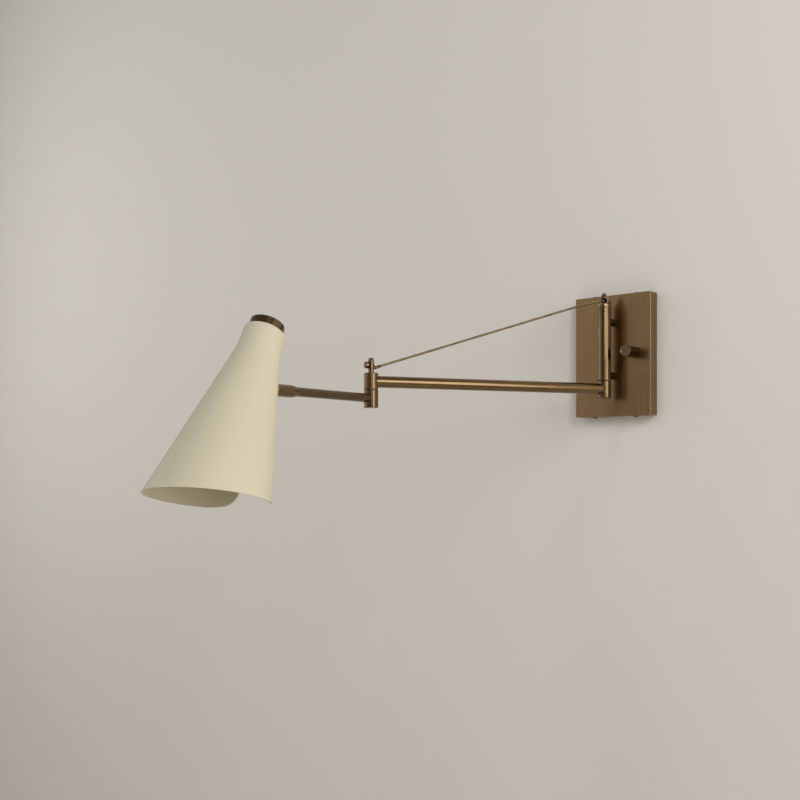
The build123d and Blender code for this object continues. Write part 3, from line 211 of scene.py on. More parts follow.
ROPE_DULL = colour(142, 116, 80)
ROPE_BRIGHT = colour(200, 174, 132)
# Painted shade: the near-black colour of the creases between the strands.
ROPE_VALLEY_SHADE = colour(20, 14, 7)
SLEEVE_BROWN = colour(92, 72, 46)
rope_brass = Finish("rope_brass", Metallic=1.0, Coat_Weight=0.2, Coat_Roughness=0.15)
rope_grain = rope_brass.noise(0.4 * MM, detail=3)
rope_tone = rope_brass.noise(14 * MM)
# The crown attribute is 1 on the outside of a strand, less in the valleys and more on the sleeve. The valleys
# between strands get a near-black colour as painted shade.
rope_crown = rope_brass.node("ShaderNodeAttribute", {"attribute_name": "crown"}, out="Fac")
rope_wear = rope_brass.spread(rope_grain * 0.5 + rope_tone * 0.5, 0.3, 0.7)
rope_wire = rope_brass.blend(rope_wear, ROPE_DULL, ROPE_BRIGHT)
rope_valley_shaded = rope_brass.blend(rope_brass.spread(rope_crown, 0.6, 0.98), ROPE_VALLEY_SHADE, rope_wire)
on_sleeve = rope_brass.spread(rope_crown, 1.05, 1.15)
rope_brass.set("Base Color", rope_brass.blend(on_sleeve, rope_valley_shaded, SLEEVE_BROWN))
rope_brass.set("Roughness", rope_grain * 0.16 + 0.26)
rope_brass.bump(rope_grain, 0.01 * MM)


class Geometry:
    """A geometry node tree: add() makes a node, its settings first, then its sockets."""

    def __init__(self, name):
        self.tree = bpy.data.node_groups.new(name, "GeometryNodeTree")
        self.tree.interface.new_socket("Geometry", in_out="INPUT", socket_type="NodeSocketGeometry")
        self.tree.interface.new_socket("Geometry", in_out="OUTPUT", socket_type="NodeSocketGeometry")
        self.given = {}
        self.start = self.tree.nodes.new("NodeGroupInput")

    def size(self, name, value, kind="NodeSocketFloat"):
        """A named input of the tree with its value."""
        made = self.tree.interface.new_socket(name, in_out="INPUT", socket_type=kind)
        self.given[made.identifier] = value
        return self.start.outputs[name]

    def add(self, kind, settings=None, inputs=None, out=0):
        made = self.tree.nodes.new(kind)
        for name, value in (settings or {}).items():
            setattr(made, name, value)
        for name, value in (inputs or {}).items():
            if isinstance(value, bpy.types.NodeSocket):
                self.tree.links.new(value, made.inputs[name])
            else:
                made.inputs[name].default_value = value
        return made.outputs[out]

    def maths(self, operation, first, second=0.0):
        return self.add("ShaderNodeMath", {"operation": operation}, {0: first, 1: second})

    def plain_mesh(self, piece, result, name):
        """Runs the tree on a piece and returns what it makes as a plain mesh object."""
        end = self.tree.nodes.new("NodeGroupOutput")
        self.tree.links.new(result, end.inputs[0])
        modifier = piece.modifiers.new("make", "NODES")
        modifier.node_group = self.tree
        for identifier, value in self.given.items():
            modifier[identifier] = value
        bpy.context.view_layer.update()
        evaluated = piece.evaluated_get(bpy.context.evaluated_depsgraph_get())
        made = bpy.data.objects.new(name, bpy.data.meshes.new_from_object(evaluated))
        scene.collection.objects.link(made)
        piece.modifiers.clear()
        bpy.data.objects.remove(piece)
        return made


rope = Geometry("wire_rope")
strand_r = rope.size("Strand radius", CABLE_R * STRAND_SHARE)
ring_r = rope.size("Strand ring", CABLE_R * (1 - STRAND_SHARE))
core_r = rope.size("Core radius", CABLE_R * CORE_SHARE)
sleeve_r = rope.size("Sleeve radius", SLEEVE_R)
sleeve_from = rope.size("Sleeve from", 1 - SLEEVE / (cable_stop - cable_start).length)
lay_length = rope.size("Lay length", LAY)
wires = rope.size("Wires in a strand", WIRES)
strand_count = rope.size("Strands", STRANDS, "NodeSocketInt")
steps = rope.size("Steps", 600, "NodeSocketInt")
line = rope.add(
    "GeometryNodeResampleCurve", {"mode": "COUNT"}, {"Curve": rope.start.outputs["Geometry"], "Count": steps}
)
copies = rope.tree.nodes.new("GeometryNodeDuplicateElements")
copies.domain = "SPLINE"
rope.tree.links.new(line, copies.inputs["Geometry"])
rope.tree.links.new(strand_count, copies.inputs["Amount"])
travel = rope.add("GeometryNodeSplineParameter", out="Length")
turn = rope.maths("MULTIPLY", rope.maths("DIVIDE", travel, lay_length), 2 * pi)
phase = rope.maths("MULTIPLY", rope.maths("DIVIDE", copies.outputs["Duplicate Index"], strand_count), 2 * pi)
tangent = rope.add("GeometryNodeInputTangent")
outward = rope.add(
    "ShaderNodeVectorRotate",
    {"rotation_type": "AXIS_ANGLE"},
    {"Vector": rope.add("GeometryNodeInputNormal"), "Axis": tangent, "Angle": rope.maths("ADD", turn, phase)},
)
offset = rope.add("ShaderNodeVectorMath", {"operation": "SCALE"}, {0: outward, "Scale": ring_r})
strands = rope.add(
    "GeometryNodeSetPosition", {}, {"Geometry": copies.outputs["Geometry"], "Offset": offset}
)
strands = rope.add(
    "GeometryNodeSetCurveTilt", {}, {"Curve": strands, "Tilt": rope.maths("MULTIPLY", turn, STRAND_TWIST)}
)
section = rope.add("GeometryNodeCurvePrimitiveCircle", {}, {"Resolution": 18, "Radius": strand_r})
section_turn = rope.maths("MULTIPLY", rope.add("GeometryNodeSplineParameter", out="Factor"), 2 * pi)
lobe = rope.maths("COSINE", rope.maths("MULTIPLY", section_turn, wires))
swell = rope.maths("ADD", rope.maths("MULTIPLY", lobe, WIRE_RELIEF), STRAND_MEAN)
section_spot = rope.add(
    "ShaderNodeVectorMath", {"operation": "SCALE"}, {0: rope.add("GeometryNodeInputPosition"), "Scale": swell}
)
lobed = rope.add("GeometryNodeSetPosition", {}, {"Geometry": section, "Position": section_spot})
strand_mesh = rope.add(
    "GeometryNodeCurveToMesh", {}, {"Curve": strands, "Profile Curve": lobed, "Fill Caps": True}
)
core_section = rope.add("GeometryNodeCurvePrimitiveCircle", {}, {"Resolution": 8, "Radius": core_r})
core_mesh = rope.add(
    "GeometryNodeCurveToMesh", {}, {"Curve": line, "Profile Curve": core_section, "Fill Caps": True}
)
sleeve_line = rope.add("GeometryNodeTrimCurve", {}, {"Curve": line, "Start": sleeve_from, "End": 1.0})
sleeve_section = rope.add("GeometryNodeCurvePrimitiveCircle", {}, {"Resolution": 32, "Radius": sleeve_r})
sleeve_mesh = rope.add(
    "GeometryNodeCurveToMesh", {}, {"Curve": sleeve_line, "Profile Curve": sleeve_section, "Fill Caps": True}
)
both = rope.tree.nodes.new("GeometryNodeJoinGeometry")
rope.tree.links.new(core_mesh, both.inputs[0])
rope.tree.links.new(strand_mesh, both.inputs[0])
rope.tree.links.new(sleeve_mesh, both.inputs[0])
bare_line = rope.add("GeometryNodeCurveToMesh", {}, {"Curve": line})
out_by = rope.add("GeometryNodeProximity", {"target_element": "EDGES"}, {0: bare_line}, out="Distance")
crown = rope.maths("DIVIDE", out_by, rope.maths("ADD", strand_r, ring_r))
marked = rope.add(
    "GeometryNodeStoreNamedAttribute",
    {"data_type": "FLOAT", "domain": "POINT"},
    {"Geometry": both.outputs[0], "Name": "crown", "Value": crown},
)
smooth = rope.add("GeometryNodeSetShadeSmooth", {}, {"Geometry": marked})
whole = rope.add("GeometryNodeRealizeInstances", {}, {"Geometry": smooth})
finished = rope.add("GeometryNodeSetMaterial", {}, {"Geometry": whole, "Material": rope_brass.material})
cable_rope = rope.plain_mesh(cable_line, finished, "cable_rope")
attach(cable_rope, "main_arm")
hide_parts("tension_cable")
(cable_stop - cable_start).length


# Wall bracket: a sheet steel strap, zinc plated, screwed to the outlet box. Its plating has a soft
# spangle and rolling marks. The nuts, washers and nipples on it are plated the same way.
ZINC_DARK = colour(166, 168, 168)
ZINC_LIGHT = colour(188, 188, 184)
THREAD_DEPTH = 0.3 * MM
NIPPLE_PITCH = 0.9 * MM


def zinc(name, way=(0, 0, 0), pitch=0, origin=(0, 0, 0)):
    """Zinc plating. A pitch adds the ridges of a thread along the way's Z."""
    plate = Finish(name, Metallic=1.0)
    spangle = plate.noise(6 * MM, detail=3)
    fine = plate.noise((0.25 * MM, 0.25 * MM, 3 * MM), origin, way)
    plate.set("Base Color", plate.blend(plate.spread(spangle, 0.25, 0.75), ZINC_DARK, ZINC_LIGHT))
    plate.set("Roughness", spangle * 0.2 + fine * 0.1 + 0.22)
    if pitch:
        spot = plate.node("ShaderNodeTexCoord", out="Object")
        local = plate.node(
            "ShaderNodeMapping",
            {"vector_type": "TEXTURE"},
            {"Vector": spot, "Location": origin, "Rotation": way, "Scale": (pitch, pitch, pitch)},
        )
        ridge = plate.node(
            "ShaderNodeTexWave",
            {"wave_type": "BANDS", "bands_direction": "Z", "wave_profile": "TRI"},
            {"Vector": local, "Scale": 0.5},
        )
        plate.bump(ridge, THREAD_DEPTH)
    else:
        plate.bump(fine, 0.01 * MM)
    return plate.material


def dress(material, *names):
    """Gives CAD nodes their finish."""
    for name in names:
        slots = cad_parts[name].data.materials
        slots.clear()
        slots.append(material)


dress(zinc("bracket_zinc"), "mounting_bracket")
dress(zinc("washer_zinc"), "lock_washers", "standoff_nuts", "dimmer_ring_nut", "dimmer_shaft", "pivot_rod")
dress(zinc("nipple_zinc", (radians(90), 0, 0), NIPPLE_PITCH), "standoff_nipples")


# Ground screw: a steel screw in the bracket for the earth wire. It is dyed green so that its place is
# plain to see.
GREEN_DARK = colour(24, 96, 52)
GREEN_LIGHT = colour(52, 140, 80)
ground_green = Finish("ground_green", Metallic=0.6)
green_tone = ground_green.noise(1.5 * MM)
ground_green.set("Base Color", ground_green.blend(green_tone, GREEN_DARK, GREEN_LIGHT))
ground_green.set("Roughness", green_tone * 0.15 + 0.3)
dress(ground_green.material, "ground_screw")


# Wall plate: a brass pan, brushed up and down, darkened to an antique brown and lacquered. Brass parts
# of the lamp share the finish, each with its brush marks along or round the piece.
BROWN = colour(84, 63, 37)
BRASS = colour(132, 104, 66)
DEEP = colour(64, 47, 27)
EDGE_WEAR_AND_HIGHLIGHT = colour(206, 174, 126)
PATINA_SPOT = 24 * MM


def antique(
    name, size, origin=(0, 0, 0), turn=(0, 0, 0), shine=0.3, dark=BROWN, light=BRASS, depth=0.005, edge=0.5
):
    """Antique brass, brushed with this grain along the piece's own axes. Edges within edge mm are paler,
    partly wear and partly a painted highlight.
    """
    brass = Finish(name, Metallic=1.0, Coat_Weight=0.5, Coat_Roughness=0.12)
    marks = brass.noise(size, origin, turn, detail=4, roughness=0.65)
    broad = brass.noise(tuple(3.5 * part for part in size), origin, turn, detail=2)
    patina = brass.noise(PATINA_SPOT, detail=3)
    tone = brass.spread(marks * 0.4 + broad * 0.3 + patina * 0.3, 0.22, 0.78)
    aged = brass.blend(brass.spread(patina, 0.58, 0.8) * 0.25, brass.blend(tone, dark, light), DEEP)
    softened = brass.node("ShaderNodeBevel", {"samples": 4}, {"Radius": edge * MM})
    flat = brass.node("ShaderNodeNewGeometry", out="Normal")
    both = {0: softened, 1: flat}
    alike = brass.node("ShaderNodeVectorMath", {"operation": "DOT_PRODUCT"}, both, out="Value")
    # Wear and painted highlight: edges found by the bevel's normal are blended toward a pale brass.
    edge_wear_and_highlight = brass.spread(1 - alike, 0.02, 0.2) * (marks * 0.5 + 0.6)
    brass.set("Base Color", brass.blend(edge_wear_and_highlight, aged, EDGE_WEAR_AND_HIGHLIGHT))
    brass.set("Roughness", marks * 0.12 + patina * 0.06 + (shine - 0.1))
    brass.bump(marks, depth * MM, softened)
    return brass.material


UPRIGHT = (0.3 * MM, 0.3 * MM, 60 * MM)
# Painted light: the plate's copy of the brass is coloured lighter than the other brass parts.
PLATE_LIT_DARK = colour(108, 82, 48)
PLATE_LIT_LIGHT = colour(142, 112, 72)
plate_lit_brass = antique(
    "plate_lit_brass", UPRIGHT, shine=0.34, dark=PLATE_LIT_DARK, light=PLATE_LIT_LIGHT, depth=0.02, edge=1.6
)
dress(plate_lit_brass, "backplate")
dress(antique("post_brass", UPRIGHT, shine=0.22), "post_tube", "post_top_bush")
dress(antique("screw_brass", (0.3 * MM, 3 * MM, 3 * MM)), "plate_screws")


# Standoffs: two short collars turned from brass, coloured darker than the other brass as painted shade
# between the post and the plate. The nipples through them clamp them between the plate and the post.
STANDOFF_TURNED = (4 * MM, 0.2 * MM, 4 * MM)
STANDOFF_SHADED_DARK = colour(58, 42, 26)
STANDOFF_SHADED_LIGHT = colour(104, 80, 50)
dress(antique("standoff_shaded_brass", STANDOFF_TURNED, dark=STANDOFF_SHADED_DARK, light=STANDOFF_SHADED_LIGHT), "standoffs")


# Dimmer: a moulded case behind the plate, with a plated neck and shaft. Its knob is a turned brass
# cylinder with a dished, brushed face in a thin bright rim.
CASE_DARK = colour(28, 28, 30)
CASE_LIGHT = colour(46, 46, 48)
case = Finish("dimmer_case", Specular_IOR_Level=0.4)
case_tone = case.noise(0.6 * MM, detail=3)
case.set("Base Color", case.blend(case_tone, CASE_DARK, CASE_LIGHT))
case.set("Roughness", case_tone * 0.2 + 0.42)
case.bump(case_tone, 0.03 * MM)
dress(case.material, "dimmer_body")
KNOB_BRUSHED = (0.4 * MM, 5 * MM, 6 * MM)
KNOB_TURN = (0, radians(40), 0)
KNOB_DARK = colour(70, 52, 30)
KNOB_LIGHT = colour(104, 81, 51)
knob_brass = antique(
    "knob_brass", KNOB_BRUSHED, turn=KNOB_TURN, shine=0.25, dark=KNOB_DARK, light=KNOB_LIGHT, edge=0.8
)
dress(knob_brass, "knob")
dress(zinc("set_screw_zinc"), "knob_set_screw")


# Post head, knuckles and caps: turned brass, with lathe marks round each piece. The thin disc over
# the knuckle is dark fibre.
FIBRE_DARK = colour(24, 20, 16)
FIBRE_LIGHT = colour(52, 44, 34)
fibre = Finish("friction_fibre")
fibre_tone = fibre.noise(0.4 * MM, detail=4)
fibre.set("Base Color", fibre.blend(fibre_tone, FIBRE_DARK, FIBRE_LIGHT))
fibre.set("Roughness", fibre_tone * 0.2 + 0.6)
fibre.bump(fibre_tone, 0.03 * MM)
dress(fibre.material, "post_bottom_bush", "elbow_washer", "tilt_washers")
ROUND = (9 * MM, 9 * MM, 0.3 * MM)
dress(
    antique("knuckle_brass", ROUND, shine=0.25),
    "post_knuckle",
    "post_bottom_cap",
    "elbow_upper_knuckle",
    "elbow_lower_knuckle",
    "elbow_pin",
    "elbow_end_cap",
    "elbow_bushes",
    "elbow_pin_nut",
)


# Cable head: a turned eye on a flange, with two flat cheeks and a round window. The cable's dark polished
# ball sits in the window, and a round lock screw behind it holds it. The elbow's clamp screw has a thick
# coppery head.
MERGE = 0.002 * MM
SHARP = radians(35)


def turned(name, outline, centre, axis, steps=72):
    """A solid turned about an axis, from corners (radius, level) in millimetres that start and end on it."""
    solid = bmesh.new()
    spots = [solid.verts.new((radius * MM, 0, level * MM)) for radius, level in outline]
    sides = [solid.edges.new(pair) for pair in zip(spots, spots[1:])]
    bmesh.ops.spin(solid, geom=spots + sides, axis=(0, 0, 1), cent=(0, 0, 0), steps=steps, angle=2 * pi)
    bmesh.ops.remove_doubles(solid, verts=solid.verts, dist=MERGE)
    bmesh.ops.recalc_face_normals(solid, faces=solid.faces)
    solid.transform(Matrix.Translation(centre) @ axis.to_track_quat("Z", "Y").to_matrix().to_4x4())
    for face in solid.faces:
        face.smooth = True
    mesh = bpy.data.meshes.new(name)
    solid.to_mesh(mesh)
    solid.free()
    mesh.set_sharp_from_angle(angle=SHARP)
    made = bpy.data.objects.new(name, mesh)
    scene.collection.objects.link(made)
    return made


def cut(piece, *cutters):
    """Takes the cutters out of a piece and removes them."""
    for cutter in cutters:
        modifier = piece.modifiers.new("cut", "BOOLEAN")
        modifier.operation = "DIFFERENCE"
        modifier.object = cutter
    bpy.context.view_layer.update()
    whole = bpy.data.meshes.new_from_object(piece.evaluated_get(bpy.context.evaluated_depsgraph_get()))
    piece.modifiers.clear()
    piece.data = whole
    whole.set_sharp_from_angle(angle=SHARP)
    for cutter in cutters:
        bpy.data.objects.remove(cutter)


def finish_piece(piece, material, body, node):
    """Gives a piece its finish, its body and the CAD node that it stands for."""
    piece.data.materials.clear()
    piece.data.materials.append(material)
    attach(piece, body)
    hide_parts(node)


def disc(radius, bottom, top):
    """The outline of a plain turned disc."""
    return [(0, bottom), (radius, bottom), (radius, top), (0, top)]


UP = Vector((0, 0, 1))
FLANGE = [(0, 63.45), (8.2, 63.45), (8.6, 63.85), (8.6, 66.6), (8, 67.2), (6.8, 67.2)]
CROWN = [(6.8, 72.4), (2.9, 80.6), (2.2, 81.8), (0, 82.5)]
CHEEK_FLAT = 4.4
CHEEK_CUT_R = 30
CHEEK_CUT_DEPTH = 20
CHEEK_CUT_LEVEL = 97.3
WINDOW_R = 4.1
WINDOW_REACH = 10
HEAD_DARK = colour(120, 97, 66)
HEAD_LIGHT = colour(160, 134, 98)
side = Vector((-arm_way.y, arm_way.x, 0))
head_eye = turned("head_eye", FLANGE + CROWN, post_foot, UP)
cheek_cut = disc(CHEEK_CUT_R, CHEEK_FLAT, CHEEK_FLAT + CHEEK_CUT_DEPTH)
cheek_spot = post_foot + UP * CHEEK_CUT_LEVEL * MM
cheeks = [turned("cheek", cheek_cut, cheek_spot, way, 4) for way in (side, -side)]
window = turned("window", disc(WINDOW_R, -WINDOW_REACH, WINDOW_REACH), ball, side, 48)
cut(head_eye, *cheeks, window)
head_brass = antique("head_brass", ROUND, shine=0.25, dark=HEAD_DARK, light=HEAD_LIGHT)
finish_piece(head_eye, head_brass, "main_arm", "cable_head")

BALL_DARK = colour(40, 26, 14)
BALL_LIGHT = colour(72, 50, 30)
BALL_STEPS = 24
ball_bronze = Finish("ball_bronze", Metallic=1.0, Coat_Weight=1.0, Coat_Roughness=0.03)
ball_tone = ball_bronze.noise(1.2 * MM)
ball_bronze.set("Base Color", ball_bronze.blend(ball_tone, BALL_DARK, BALL_LIGHT))
ball_bronze.set("Roughness", ball_tone * 0.08 + 0.1)
ball_rows = [pi * k / BALL_STEPS - pi / 2 for k in range(BALL_STEPS + 1)]
ball_arc = [(BALL_R / MM * cos(row), BALL_R / MM * sin(row)) for row in ball_rows]
head_ball = turned("head_ball", ball_arc, ball, cable_way)
finish_piece(head_ball, ball_bronze.material, "main_arm", "cable_ball")

LOCK_LEVEL = 70.9
LOCK = [(0, 2.2), (1.5, 2.2), (1.5, 6.6), (3, 6.6), (3.4, 7), (3.4, 8.5), (3, 8.9), (0, 8.9)]
CLAMP_LEVEL = -26.4
CLAMP_SHANK = [(0, -4.5), (1.1, -4.5), (1.5, -4.1), (1.5, 4.1)]
CLAMP_HEAD = [(3.9, 4.1), (4.4, 4.6), (4.4, 7.4), (3.8, 8.2), (0, 8.6)]
COPPER_DARK = colour(110, 80, 54)
COPPER_LIGHT = colour(146, 112, 80)
SCREW_TURNED = (5 * MM, 5 * MM, 0.3 * MM)
arm_turn = tuple(arm_way.to_track_quat("Z", "Y").to_euler())
head_screw = turned("head_screw", LOCK, post_foot + UP * LOCK_LEVEL * MM, -arm_way, 48)
thumb_brass = antique("thumb_brass", SCREW_TURNED, turn=arm_turn, shine=0.24)
finish_piece(head_screw, thumb_brass, "main_arm", "head_lock_screw")
clamp_screw = turned("clamp_screw", CLAMP_SHANK + CLAMP_HEAD, elbow + UP * CLAMP_LEVEL * MM, arm_way, 48)
copper = antique(
    "clamp_copper", SCREW_TURNED, turn=arm_turn, shine=0.26, dark=COPPER_DARK, light=COPPER_LIGHT
)
finish_piece(clamp_screw, copper, "main_arm", "cable_clamp_screw")


# Main arm: a straight brass tube, brushed along its length. Its two ends are coped to fit the post's
# knuckle and the elbow's upper knuckle.
LONG = (0.3 * MM, 0.3 * MM, 80 * MM)
dress(antique("main_arm_brass", LONG, turn=arm_turn, shine=0.24), "main_arm_tube")


# Second arm and swivel: a thinner brass tube, brushed along. A turned ferrule swivels on the stem in its
# end and carries the tongue, and the fork that holds the shade tilts on the tongue.
ELBOW_TURN = 31.19
SECOND_DARK = colour(72, 53, 29)
SECOND_LIGHT = colour(110, 86, 53)
FERRULE_TURNED = (6 * MM, 6 * MM, 0.2 * MM)
STEM_PITCH = 0.8 * MM
second_way = heading(ARM_OUT + ELBOW_TURN)
second_turn = tuple(second_way.to_track_quat("Z", "Y").to_euler())
second_brass = antique(
    "second_arm_brass", LONG, turn=second_turn, shine=0.24, dark=SECOND_DARK, light=SECOND_LIGHT
)
dress(second_brass, "second_arm_tube")
ferrule_brass = antique("ferrule_brass", FERRULE_TURNED, turn=second_turn, shine=0.25)
dress(ferrule_brass, "swivel_ferrule", "tilt_tongue", "tilt_fork")
swivel_zinc = zinc("swivel_zinc", second_turn, STEM_PITCH)
dress(swivel_zinc, "swivel_stem", "swivel_nut", "tilt_screw", "tilt_nut")


# Shade: sheet metal spun to a neck, a soft shoulder, a flare and a long cone, cut to an oblique mouth
# and a tapered slit, then painted cream inside and out. The edges are dressed round before painting.
SHADE_ROLL = radians(3.96)
SHADE_TILT = radians(26.66)
SECOND_ARM_Z = -67.4
SHADE_CROSSING = 211.7
ARM_LEVEL_IN_SHADE = 82
SHEET = 1.2
HOLE_R = 4.95
CAP_HEIGHT = 9.75
SHOULDER_R = 4.6
NECK_R = 24.05
FLARE_R = 93
CONE_ANGLE = radians(12.7)
CONE_LEVEL = 52
CONE_R = 27.84
MOUTH_LEVEL = 216.6
MOUTH_SLOPE = 0.29
SLIT_TOP = 50
SLIT_TOP_R = 8.6
SLIT_MOUTH_HALF = 21
SLIT_CORNER_LEVEL = 179
SLIT_CORNER_HALF = 43
SLIT_CORNER_RIM = 202.4
SLIT_END = 205.4
SLIT_END_SLOPE = 7 / 4
SLIT_REACH = 1.9
SLIT_WIDEST = 0.9
TOP_RINGS = (10, 15)
SHOULDER_STEPS = 6
FLARE_STEPS = 12
SLIT_TOP_STEPS = 15
SLIT_STEPS = 14
PLAIN_END = 150
BELOW_MOUTH = 40
COLUMNS = 252
LOWER_ROWS = 44
ROW_CROWDING = 1.1
HALVINGS = 34
EDGE_ROUND = 0.4
CREAM_DARK = colour(212, 203, 175)
CREAM_LIGHT = colour(218, 210, 183)
right = Vector((-second_way.y, second_way.x, 0))
shade_right = right * cos(SHADE_ROLL) + Vector((0, 0, 1)) * sin(SHADE_ROLL)
arm_up = second_way.cross(shade_right)
shade_down = -arm_up * cos(SHADE_TILT) + second_way * sin(SHADE_TILT)
shade_front = shade_down.cross(shade_right)
shade_top = (
    elbow
    + Vector((0, 0, SECOND_ARM_Z * MM))
    + second_way * (SHADE_CROSSING * MM)
    - shade_down * (ARM_LEVEL_IN_SHADE * MM)
)
slope = tan(CONE_ANGLE)
flare_rise = FLARE_R * (1 - cos(CONE_ANGLE))
cone_start = CONE_LEVEL + (NECK_R + flare_rise - CONE_R) / slope
flare_start = cone_start - FLARE_R * sin(CONE_ANGLE)


def cone_radius(level, gauge):
    """The cone's radius at a level, on the sheet's face at this depth in from its outside."""
    start = flare_start + (FLARE_R + gauge) * sin(CONE_ANGLE)
    return NECK_R - gauge + (FLARE_R + gauge) * (1 - cos(CONE_ANGLE)) + slope * (level - start)


def slit_half(level):
    """Half the slit's width: a round top, straight tapering sides, corners that sweep out to the rim."""
    straight = SLIT_TOP + SLIT_TOP_R
    if level <= SLIT_TOP:
        return 0
    if level < straight:
        return sqrt(SLIT_TOP_R**2 - (straight - level) ** 2)
    taper = (SLIT_MOUTH_HALF - SLIT_TOP_R) / (SLIT_CORNER_LEVEL - straight)
    if level < SLIT_CORNER_LEVEL:
        return SLIT_TOP_R + taper * (level - straight)
    if level > SLIT_CORNER_RIM:
        return SLIT_CORNER_HALF + (min(level, SLIT_END) - SLIT_CORNER_RIM) * SLIT_END_SLOPE
    across = SLIT_CORNER_HALF - SLIT_MOUTH_HALF
    down = SLIT_CORNER_RIM - SLIT_CORNER_LEVEL
    norm = sqrt(1 + taper**2)
    sweep = (across**2 + down**2) * norm / (2 * (across - taper * down))
    centre_x = SLIT_MOUTH_HALF + sweep / norm
    centre_level = SLIT_CORNER_LEVEL - sweep * taper / norm
    return centre_x - sqrt(max(sweep**2 - (level - centre_level) ** 2, 0))


def around(level, radius, share):
    """Angle from the back at a share of the way round. The slit pushes only the columns near it aside."""
    half = min(slit_half(level) / radius, SLIT_WIDEST)
    straight_on = share * 2 * pi
    near = min(min(straight_on, 2 * pi - straight_on) / SLIT_REACH, 1)
    push = atan2(half, sqrt(1 - half**2)) * (1 - near**2 * (3 - 2 * near))
    return straight_on + push if share < 0.5 else straight_on - push


def mouth_at(angle, gauge):
    """Level where the oblique mouth cuts the cone."""
    lean = MOUTH_SLOPE * cos(angle)
    return (MOUTH_LEVEL - lean * cone_radius(0, gauge)) / (1 + lean * slope)


def shade_rows(gauge):
    """The sheet's face in rows of (angle, radius, level) from the hole to the mouth, and the slit's row."""
    top = CAP_HEIGHT + gauge
    bend = SHOULDER_R - gauge
    inner = NECK_R - SHOULDER_R
    stations = [(radius, top) for radius in (HOLE_R, *TOP_RINGS)]
    turns = [pi / 2 * k / SHOULDER_STEPS for k in range(SHOULDER_STEPS + 1)]
    stations += [(inner + bend * sin(turn), top + bend * (1 - cos(turn))) for turn in turns]
    flare = FLARE_R + gauge
    neck = NECK_R - gauge
    turns = [CONE_ANGLE * k / FLARE_STEPS for k in range(FLARE_STEPS + 1)]
    stations += [(neck + flare * (1 - cos(turn)), flare_start + flare * sin(turn)) for turn in turns]
    turns = [pi / 2 * k / SLIT_TOP_STEPS for k in range(SLIT_TOP_STEPS + 1)]
    levels = [SLIT_TOP + SLIT_TOP_R * (1 - cos(turn)) for turn in turns]
    straight = SLIT_TOP + SLIT_TOP_R
    levels += [straight + (PLAIN_END - straight) * k / SLIT_STEPS for k in range(1, SLIT_STEPS + 1)]
    stations += [(cone_radius(level, gauge), level) for level in levels]
    shares = [column / COLUMNS for column in range(COLUMNS + 1)]
    rows = [[(around(level, radius, share), radius, level) for share in shares] for radius, level in stations]
    for step in range(1, LOWER_ROWS + 1):
        drop = 1 - (1 - step / LOWER_ROWS) ** ROW_CROWDING
        row = []
        for share in shares:
            low, high = PLAIN_END, MOUTH_LEVEL + BELOW_MOUTH
            for _ in range(HALVINGS):
                level = (low + high) / 2
                angle = around(level, cone_radius(level, gauge), share)
                if level - PLAIN_END < drop * (mouth_at(angle, gauge) - PLAIN_END):
                    low = level
                else:
                    high = level
            row.append((angle, cone_radius(level, gauge), level))
        rows.append(row)
    return rows, len(stations) - len(levels)


def in_shade(angle, radius, level):
    """A spot given in the shade's own turned frame, in metres."""
    return shade_top + (
        shade_right * (radius * sin(angle)) - shade_front * (radius * cos(angle)) + shade_down * level
    ) * MM


shell = bmesh.new()
faces = []
for gauge in (0, SHEET):
    rows, slit_row = shade_rows(gauge)
    faces.append([[shell.verts.new(in_shade(*spot)) for spot in row] for row in rows])
outer, inner = faces
for upper, lower in zip(outer, outer[1:]):
    for k in range(COLUMNS):
        shell.faces.new((upper[k], lower[k], lower[k + 1], upper[k + 1]))
for upper, lower in zip(inner, inner[1:]):
    for k in range(COLUMNS):
        shell.faces.new((upper[k], upper[k + 1], lower[k + 1], lower[k]))
for k in range(COLUMNS):
    shell.faces.new((outer[-1][k], inner[-1][k], inner[-1][k + 1], outer[-1][k + 1]))
    shell.faces.new((outer[0][k], outer[0][k + 1], inner[0][k + 1], inner[0][k]))
for row in range(slit_row, len(outer) - 1):
    shell.faces.new((outer[row][0], inner[row][0], inner[row + 1][0], outer[row + 1][0]))
    shell.faces.new((outer[row][-1], outer[row + 1][-1], inner[row + 1][-1], inner[row][-1]))
bmesh.ops.remove_doubles(shell, verts=shell.verts, dist=MERGE)
bmesh.ops.dissolve_degenerate(shell, dist=MERGE, edges=shell.edges)
bmesh.ops.recalc_face_normals(shell, faces=shell.faces)
for face in shell.faces:
    face.smooth = True
shade_mesh = bpy.data.meshes.new("shade_shell")
shell.to_mesh(shade_mesh)
shell.free()
shade_shell = bpy.data.objects.new("shade_shell", shade_mesh)
scene.collection.objects.link(shade_shell)
rounding = shade_shell.modifiers.new("edges", "BEVEL")
rounding.width = EDGE_ROUND * MM
rounding.segments = 3
rounding.limit_method = "ANGLE"
rounding.angle_limit = radians(50)
rounding.harden_normals = True

cream = Finish("cream_paint", Specular_IOR_Level=0.35)
drift = cream.noise((45 * MM, 45 * MM, 60 * MM), detail=2)
speckle = cream.noise(0.9 * MM, detail=3)
skin = cream.noise(2.4 * MM, detail=1)
cream.set("Base Color", cream.blend(drift * 0.6 + speckle * 0.4, CREAM_DARK, CREAM_LIGHT))
cream.set("Roughness", speckle * 0.08 + 0.46)
cream.bump(skin * 0.7 + speckle * 0.3, 0.012 * MM)
shade_mesh.materials.append(cream.material)
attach(shade_shell, "shade")
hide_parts("shade")


# Top cap: turned from brass, with lathe marks round its rim. It is screwed down on the lamp nipple, over
# the hole in the shade's top.
CAP_TURNED = (7 * MM, 7 * MM, 0.2 * MM)
shade_turn = tuple(shade_down.to_track_quat("Z", "Y").to_euler())
dress(antique("cap_brass", CAP_TURNED, origin=tuple(shade_top), turn=shade_turn, shine=0.22), "top_cap")


